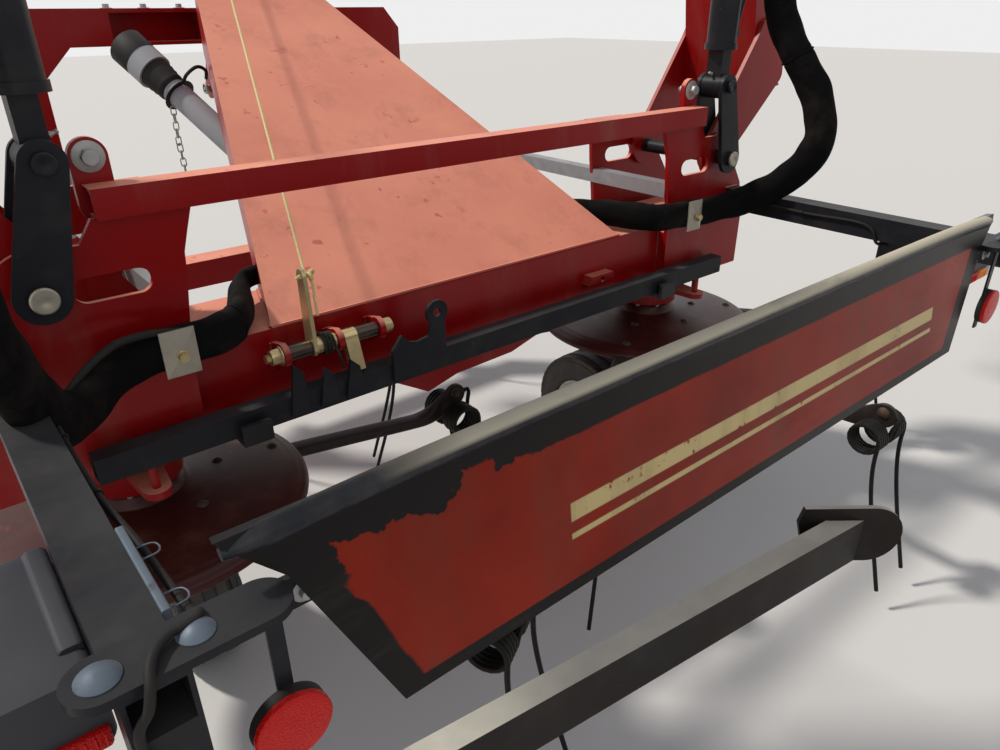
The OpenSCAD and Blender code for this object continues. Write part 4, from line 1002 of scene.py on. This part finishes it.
def add_cylinder_lines():
    """A line up the side of each barrel between its two ports, with the ports' fittings."""
    for side in SIDES:
        name = SIDE_NAME[side]
        neck = shifted(spun([(0.011, 0), (0.0115, 0.012), (0.010, 0.016)], 18), (0, 0, 0.018))
        tall = joined([hex_head(0.026, 0.018), neck, shifted(hex_head(0.022, 0.014), (0, 0, 0.032))])
        # The lower one is low, because it comes down towards the bracket with the wing
        low = joined([hex_head(0.024, 0.005), shifted(hex_head(0.020, 0.007), (0, 0, 0.005))])
        parts = [sized(low, RIGHT, 0.906, CYL_Y, 1.435), sized(tall, RIGHT, 0.906, CYL_Y, 1.730)]
        pipe = [(0.912, CYL_Y, 1.435), (0.914, CYL_Y, 1.460), (0.924, CYL_Y, 1.500), (0.944, CYL_Y, 1.560),
                (0.958, CYL_Y, 1.640), (0.966, CYL_Y, 1.704), (0.962, CYL_Y, 1.724), (0.950, CYL_Y, 1.730)]
        parts.append(on_beam(wire(pipe, 0.0065, 12, 8, AHEAD)))
        make("cylinder_fittings_" + name, on_side(joined(parts), side), BLACK, "barrel_" + name)


GEARBOX_OUT = np.array([0.0, 0.300, 0.781])
SHAFT_END = np.array([-0.350, 1.040, 1.375])
# The strap round the shaft: its distance from the shaft's end and its radius
BAND_BACK, BAND_R = 0.172, 0.0385


def add_shaft():
    """The guarded shaft: ribbed cones at both ends, a plain tube, its strap with a hook, and a chain."""
    along = SHAFT_END - GEARBOX_OUT
    length = float(np.linalg.norm(along))
    u = along / length
    tube = [(0.034, 0.165), (0.0362, 0.170), (0.0362, 0.560), (0.0335, 0.562), (0.0335, length - 0.12)]
    low = [(0.030, 0.075), (0.048, 0.080)]
    low += [(0.0485 - 0.0022 * (k % 2) - 0.0012 * k, 0.085 + 0.009 * k) for k in range(11)]
    high = [(0.034, length - 0.150), (0.042, length - 0.140)]
    high += [(0.043 + 0.0009 * k - 0.0020 * (k % 2), length - 0.132 + 0.009 * k) for k in range(13)]
    high += [(0.0545, length - 0.008), (0.0555, length + 0.048), (0.0540, length + 0.050),
             (0.0520, length + 0.046), (0.0505, length - 0.040), (0.034, length - 0.060)]
    make("shaft_tube", sized(spun(tube, 32), u, *GEARBOX_OUT), SHAFT_GUARD, "frame")
    make("shaft_cones", [sized(spun(low, 36), u, *GEARBOX_OUT), sized(spun(high, 44), u, *GEARBOX_OUT)],
         RUBBER, "frame")
    band_at = GEARBOX_OUT + (length - BAND_BACK) * u
    t = np.linspace(0.12, 2 * np.pi - 0.12, 26)
    aside = np.cross(u, (0, 0, 1.0))
    aside /= np.linalg.norm(aside)
    above = np.cross(aside, u)
    band = [band_at + BAND_R * (math.sin(a) * aside + math.cos(a) * above) for a in t]
    strap = drawn(np.array(band), box_outline(0.024, 0.003, 0.001, 1), tuple(u))
    hook = [band_at + 0.040 * above, band_at + 0.070 * above, band_at + 0.095 * above + 0.03 * aside,
            band_at + 0.080 * above + 0.07 * aside, band_at + 0.050 * above + 0.085 * aside]
    make("shaft_band", [on_beam(strap), on_beam(wire(hook, 0.005, 10, 6))], RUBBER, "frame")
    hang = band_at + np.array([-0.030, -0.012, -0.030])
    make("shaft_chain", on_beam(chain([hang, hang + (-0.002, 0, -0.10), hang + (0.004, 0.004, -0.215)])),
         PLATED, "frame")


add_frame_bolts()
add_welds()
add_hinge_trim()
add_panel_lip()
add_reflectors()
add_lamps()
add_arm_fittings()
add_hoses()
add_cylinder_lines()
add_shaft()


# Headstock, latch, wings and wheels

SWIVEL_Y, ARCH_Y, ARCH_D, ARCH_TOP = 1.130, 1.190, 0.100, 1.505
HITCH_Z, HITCH_HALF, MAST_H = 0.640, 0.412, 0.610


def add_headstock_trim():
    """Linch pins of the lower pins, the top link's pin with its clip, bolts, the swivel's cap and the stands' pins."""
    right = [sized(pin_cap(0.0143, 0.004), RIGHT, HITCH_HALF + 0.075, ARCH_Y + ARCH_D + 0.060, HITCH_Z),
             sized(clip(0.060, 0.0022), UP, HITCH_HALF + 0.062, ARCH_Y + ARCH_D + 0.060, HITCH_Z + 0.014)]
    for k in range(3):
        right.append(sized(hex_bolt(0.017), UP, 0.140 + 0.110 * k, ARCH_Y + 0.050, ARCH_TOP))
    for z in (0.760, 0.860):
        right.append(sized(hex_bolt(0.017), REAR, 0.622, ARCH_Y, z))
    top_y, top_z = ARCH_Y + ARCH_D + 0.045, HITCH_Z + MAST_H
    pin = spun([(0.0126, -0.070), (0.0126, 0.062), (0.0105, 0.066)], 24)
    middle = [sized(pin, RIGHT, 0, top_y, top_z),
              sized(pin_cap(0.019, 0.008), LEFT, -0.062, top_y, top_z),
              sized(clip(0.055, 0.0022), (0, 0.3, 1), 0.058, top_y, top_z + 0.012)]
    make("headstock_pins", both(right) + middle, PLATED, "headstock")
    cap = [sized(pin_cap(0.036, 0.010), UP, 0, SWIVEL_Y, NOSE_TOP - 0.005),
           sized(hex_bolt(0.030), UP, 0, SWIVEL_Y, NOSE_TOP + 0.005)]
    make("swivel_cap", cap, PLATED, "frame")
    for side in SIDES:
        pin_y = ARCH_Y + 0.050
        bar = spun([(0.007, -0.050), (0.007, 0.056), (0.005, 0.058)], 14)
        parts = [sized(bar, AHEAD, 0.535, pin_y, 0.778),
                 sized(clip(0.046), (0, -0.2, 1), 0.535, pin_y + 0.050, 0.785)]
        grip = [(0.535, pin_y - 0.050, 0.778), (0.535, pin_y - 0.066, 0.770), (0.535, pin_y - 0.064, 0.735)]
        parts.append(on_beam(wire(grip, 0.0045, 8, 6, RIGHT)))
        make("stand_pin_" + SIDE_NAME[side], on_side(joined(parts), side), PLATED, "headstock")


def latch_tube(x, length):
    """A length of the latch's tube, from x rightwards, with its ends taken off a little."""
    profile = [(0.0150, 0), (0.0158, 0.001), (0.0158, length - 0.001), (0.0150, length)]
    return sized(spun(profile, 28), RIGHT, x, LATCH_Y, LATCH_Z)


def knot(centre, scale=1.0):
    """A knot in the rope, a closed line: (9 sin t + 8 sin 2t, 8 cos t - 8 cos 2t, 6 sin 3t) mm."""
    t = np.linspace(0, 2 * np.pi, 40)[:-1]
    line = np.stack([0.009 * np.sin(t) + 0.008 * np.sin(2 * t), 0.008 * np.cos(t) - 0.008 * np.cos(2 * t),
                     0.006 * np.sin(3 * t)], -1)
    return drawn(line * scale + centre, round_outline(0.0032, 8), ends="loop")


def add_latch_trim():
    """The latch's return spring, a helix (x, r sin t, r cos t) round its tube, and the rope's knots."""
    turns, coil_r = 3.3, 0.0215
    t = np.linspace(0, 2 * np.pi * turns, 60)
    x = np.linspace(-0.438, -0.416, 60)
    coil = np.stack([x, LATCH_Y - coil_r * np.sin(t), LATCH_Z + coil_r * np.cos(t)], -1)
    leg = eased([coil[-1], (-0.414, -0.190, 0.866), (-0.410, -0.196, 0.845), (-0.407, -0.192, 0.826)], 5)
    arm = eased([(-0.444, -0.128, 0.905), (-0.441, -0.143, 0.903), coil[0]], 5)
    line = np.vstack([arm[:-1], coil, leg[1:]])
    make("latch_spring", on_beam(drawn(line, round_outline(0.0027, 8), (0.9, 0.3, 0.3))), RUBBER, "frame")
    make("latch_tube", [latch_tube(-0.4075, 0.100), latch_tube(-0.5130, 0.050)], LATCH_STEEL, "frame")
    start = np.array([-0.4506, -0.158, 1.030])
    end = np.array([-0.060, TOWER_FRONT - 0.007, NOSE_TOP + 0.086])
    tail = wire([start + (0.006, 0, 0), start + (0.012, -0.004, -0.020), start + (0.010, -0.010, -0.050),
                 start + (0.013, -0.008, -0.085)], 0.003, 8, 8, AHEAD)
    through = wire([start + (0.008, 0, 0), start + (-0.007, 0, 0.002), start + (-0.020, 0.002, -0.004)], 0.003, 8, 6)
    knots = [knot(start + (0.006, 0, 0)), tail, through, knot(end + (0, 0.010, 0), 1.1)]
    make("rope_knots", [on_beam(part) for part in knots], ROPE, "frame")


# From the rotor's axis inwards to the wheel's middle, and the middle's place and height
WHEEL_IN, WHEEL_Y, WHEEL_Z = 0.078, 0.140, 0.200
# Tread lugs in each of the two rings, their distance to the side of the tyre's middle and from its axis
LUGS, LUG_X, LUG_R = 44, 0.071, 0.1885


def wheel_place(where):
    """The wheel's middle on the right, its own axis along X."""
    return (ROTOR_X if where == "inner" else OUTER_X) - WHEEL_IN, WHEEL_Y, WHEEL_Z


def add_wheel_trim():
    """Hub caps, wheel bolts and tyre valves, and two rings of tapered tread lugs, half a step apart."""
    lug = loft([(0, 0, -0.018), (0, 0, -0.008), (0, 0, 0.008), (0, 0, 0.018)], [0.006, 0.009, 0.009, 0.006],
               [0.004, 0.0055, 0.0055, 0.004], 3.0, RIGHT, 10)
    cap = spun([(0.030, -0.070), (0.031, -0.058), (0.029, -0.050), (0.026, -0.046)][::-1], 28)
    valve = spun([(0.004, 0), (0.004, 0.012), (0.0055, 0.013), (0.0055, 0.026), (0.004, 0.028)], 10)
    for side in SIDES:
        for where in ("inner", "outer"):
            name = where + "_" + SIDE_NAME[side]
            x, y, z = wheel_place(where)
            parts = [pointed(cap, RIGHT, (x, y, z))]
            for k in range(4):
                a = math.pi / 2 * (k + 0.5)
                parts.append(pointed(hex_bolt(0.017), LEFT,
                                     (x - 0.012, y + 0.050 * math.cos(a), z + 0.050 * math.sin(a))))
            parts.append(pointed(valve, (-0.8, 0, 0.6), (x - 0.060, y, z + 0.094)))
            make("wheel_trim_" + name, standing(joined(parts), side, where), PLATED, "wheel_" + name)
            blocks = []
            for k in range(LUGS):
                for s in (-1, 1):
                    a = math.pi / LUGS * (2 * k + (s > 0))
                    one = shifted(turned(shifted(lug, (s * LUG_X, 0, 0)), math.pi / 2, RIGHT), (0, 0, LUG_R))
                    blocks.append(shifted(turned(one, a, RIGHT), (x, y, z)))
            make("tread_lugs_" + name, standing(joined(blocks), side, where), TYRE, "wheel_" + name)


def add_wing_trim():
    """On each wing: housing bolts, bolts on its end and rear face, a lifting handle and a rib's weld."""
    for side in SIDES:
        name = SIDE_NAME[side]
        parts = housing_bolts(OUTER_X)
        parts += [pointed(hex_bolt(0.015), RIGHT, (OUTER_X + 0.110, y, z))
                  for y in (-0.085, 0.085) for z in (0.782, 0.882)]
        parts += [pointed(hex_bolt(0.013), REAR, (x, -0.125, 0.870)) for x in (1.30, 1.34, 2.05, 2.09)]
        make("wing_bolts_" + name, standing(joined(parts), side, "outer"), PLATED, "wing_" + name)
        handle = wire([(1.36, -0.122, 0.870), (1.36, -0.150, 0.872), (1.365, -0.165, 0.872), (1.40, -0.168, 0.872),
                       (1.435, -0.165, 0.872), (1.44, -0.150, 0.872), (1.44, -0.122, 0.870)], 0.0055, 10, 8)
        seam = bead([(1.031, -0.126, 0.764), (1.031, -0.126, 0.900)], 0.003, RIGHT)
        make("wing_handle_" + name, standing(joined([handle, seam]), side, "outer"), WING_RED, "wing_" + name)


add_headstock_trim()
add_latch_trim()
add_wheel_trim()
add_wing_trim()


# Floor and light

FLOOR_HALF, FLOOR_COLOUR = 30.0, (0.62, 0.60, 0.57, 1.0)
SKY_COLOUR, SKY_STRENGTH = (0.86, 0.90, 1.0, 1.0), 0.42
BACKDROP_COLOUR, BACKDROP_STRENGTH = (0.86, 0.86, 0.86, 1.0), 1.0


def add_floor():
    """A pale floor that keeps the shadow and shows plain white to the camera far away."""
    size = FLOOR_HALF
    mesh = bpy.data.meshes.new("floor")
    mesh.from_pydata([(-size, -size, 0), (size, -size, 0), (size, size, 0), (-size, size, 0)], [], [(0, 1, 2, 3)])
    material = bpy.data.materials.new("floor")
    material.use_nodes = True
    shader = material.node_tree.nodes["Principled BSDF"]
    shader.inputs["Base Color"].default_value = FLOOR_COLOUR
    shader.inputs["Roughness"].default_value = 0.9
    mesh.materials.append(material)
    floor = bpy.data.objects.new("floor", mesh)
    bpy.context.scene.collection.objects.link(floor)


def add_sun(name, energy, direction, width, colour=(1, 1, 1)):
    """A soft sun lamp that shines from a direction; its disc is that many degrees wide."""
    light = bpy.data.lights.new(name, "SUN")
    light.energy = energy
    light.color = colour
    light.angle = math.radians(width)
    lamp = bpy.data.objects.new(name, light)
    lamp.rotation_euler = Vector(direction).to_track_quat("Z", "Y").to_euler()
    bpy.context.scene.collection.objects.link(lamp)


def add_sky():
    """Even light from all round, and a pale plain backdrop for the camera, glossy and see-through rays."""
    world = bpy.data.worlds.new("sky")
    bpy.context.scene.world = world
    world.use_nodes = True
    tree = world.node_tree
    soft = tree.nodes["Background"]
    soft.inputs["Color"].default_value = SKY_COLOUR
    soft.inputs["Strength"].default_value = SKY_STRENGTH
    pale = tree.nodes.new("ShaderNodeBackground")
    pale.inputs["Color"].default_value = BACKDROP_COLOUR
    pale.inputs["Strength"].default_value = BACKDROP_STRENGTH
    ray = tree.nodes.new("ShaderNodeLightPath")
    mix = tree.nodes.new("ShaderNodeMixShader")
    seen = ray.outputs["Is Camera Ray"]
    for kind in ("Is Glossy Ray", "Is Transmission Ray"):
        either = tree.nodes.new("ShaderNodeMath")
        either.operation = "MAXIMUM"
        tree.links.new(seen, either.inputs[0])
        tree.links.new(ray.outputs[kind], either.inputs[1])
        seen = either.outputs[0]
    tree.links.new(seen, mix.inputs[0])
    tree.links.new(soft.outputs[0], mix.inputs[1])
    tree.links.new(pale.outputs[0], mix.inputs[2])
    tree.links.new(mix.outputs[0], tree.nodes["World Output"].inputs["Surface"])


add_floor()
add_sky()
add_sun("key", 2.8, (-0.45, 0.45, 0.77), 5, (1.0, 0.97, 0.92))
add_sun("fill", 0.30, (-0.35, -0.80, 0.50), 50)

scene = bpy.context.scene
scene.view_settings.view_transform = "Standard"
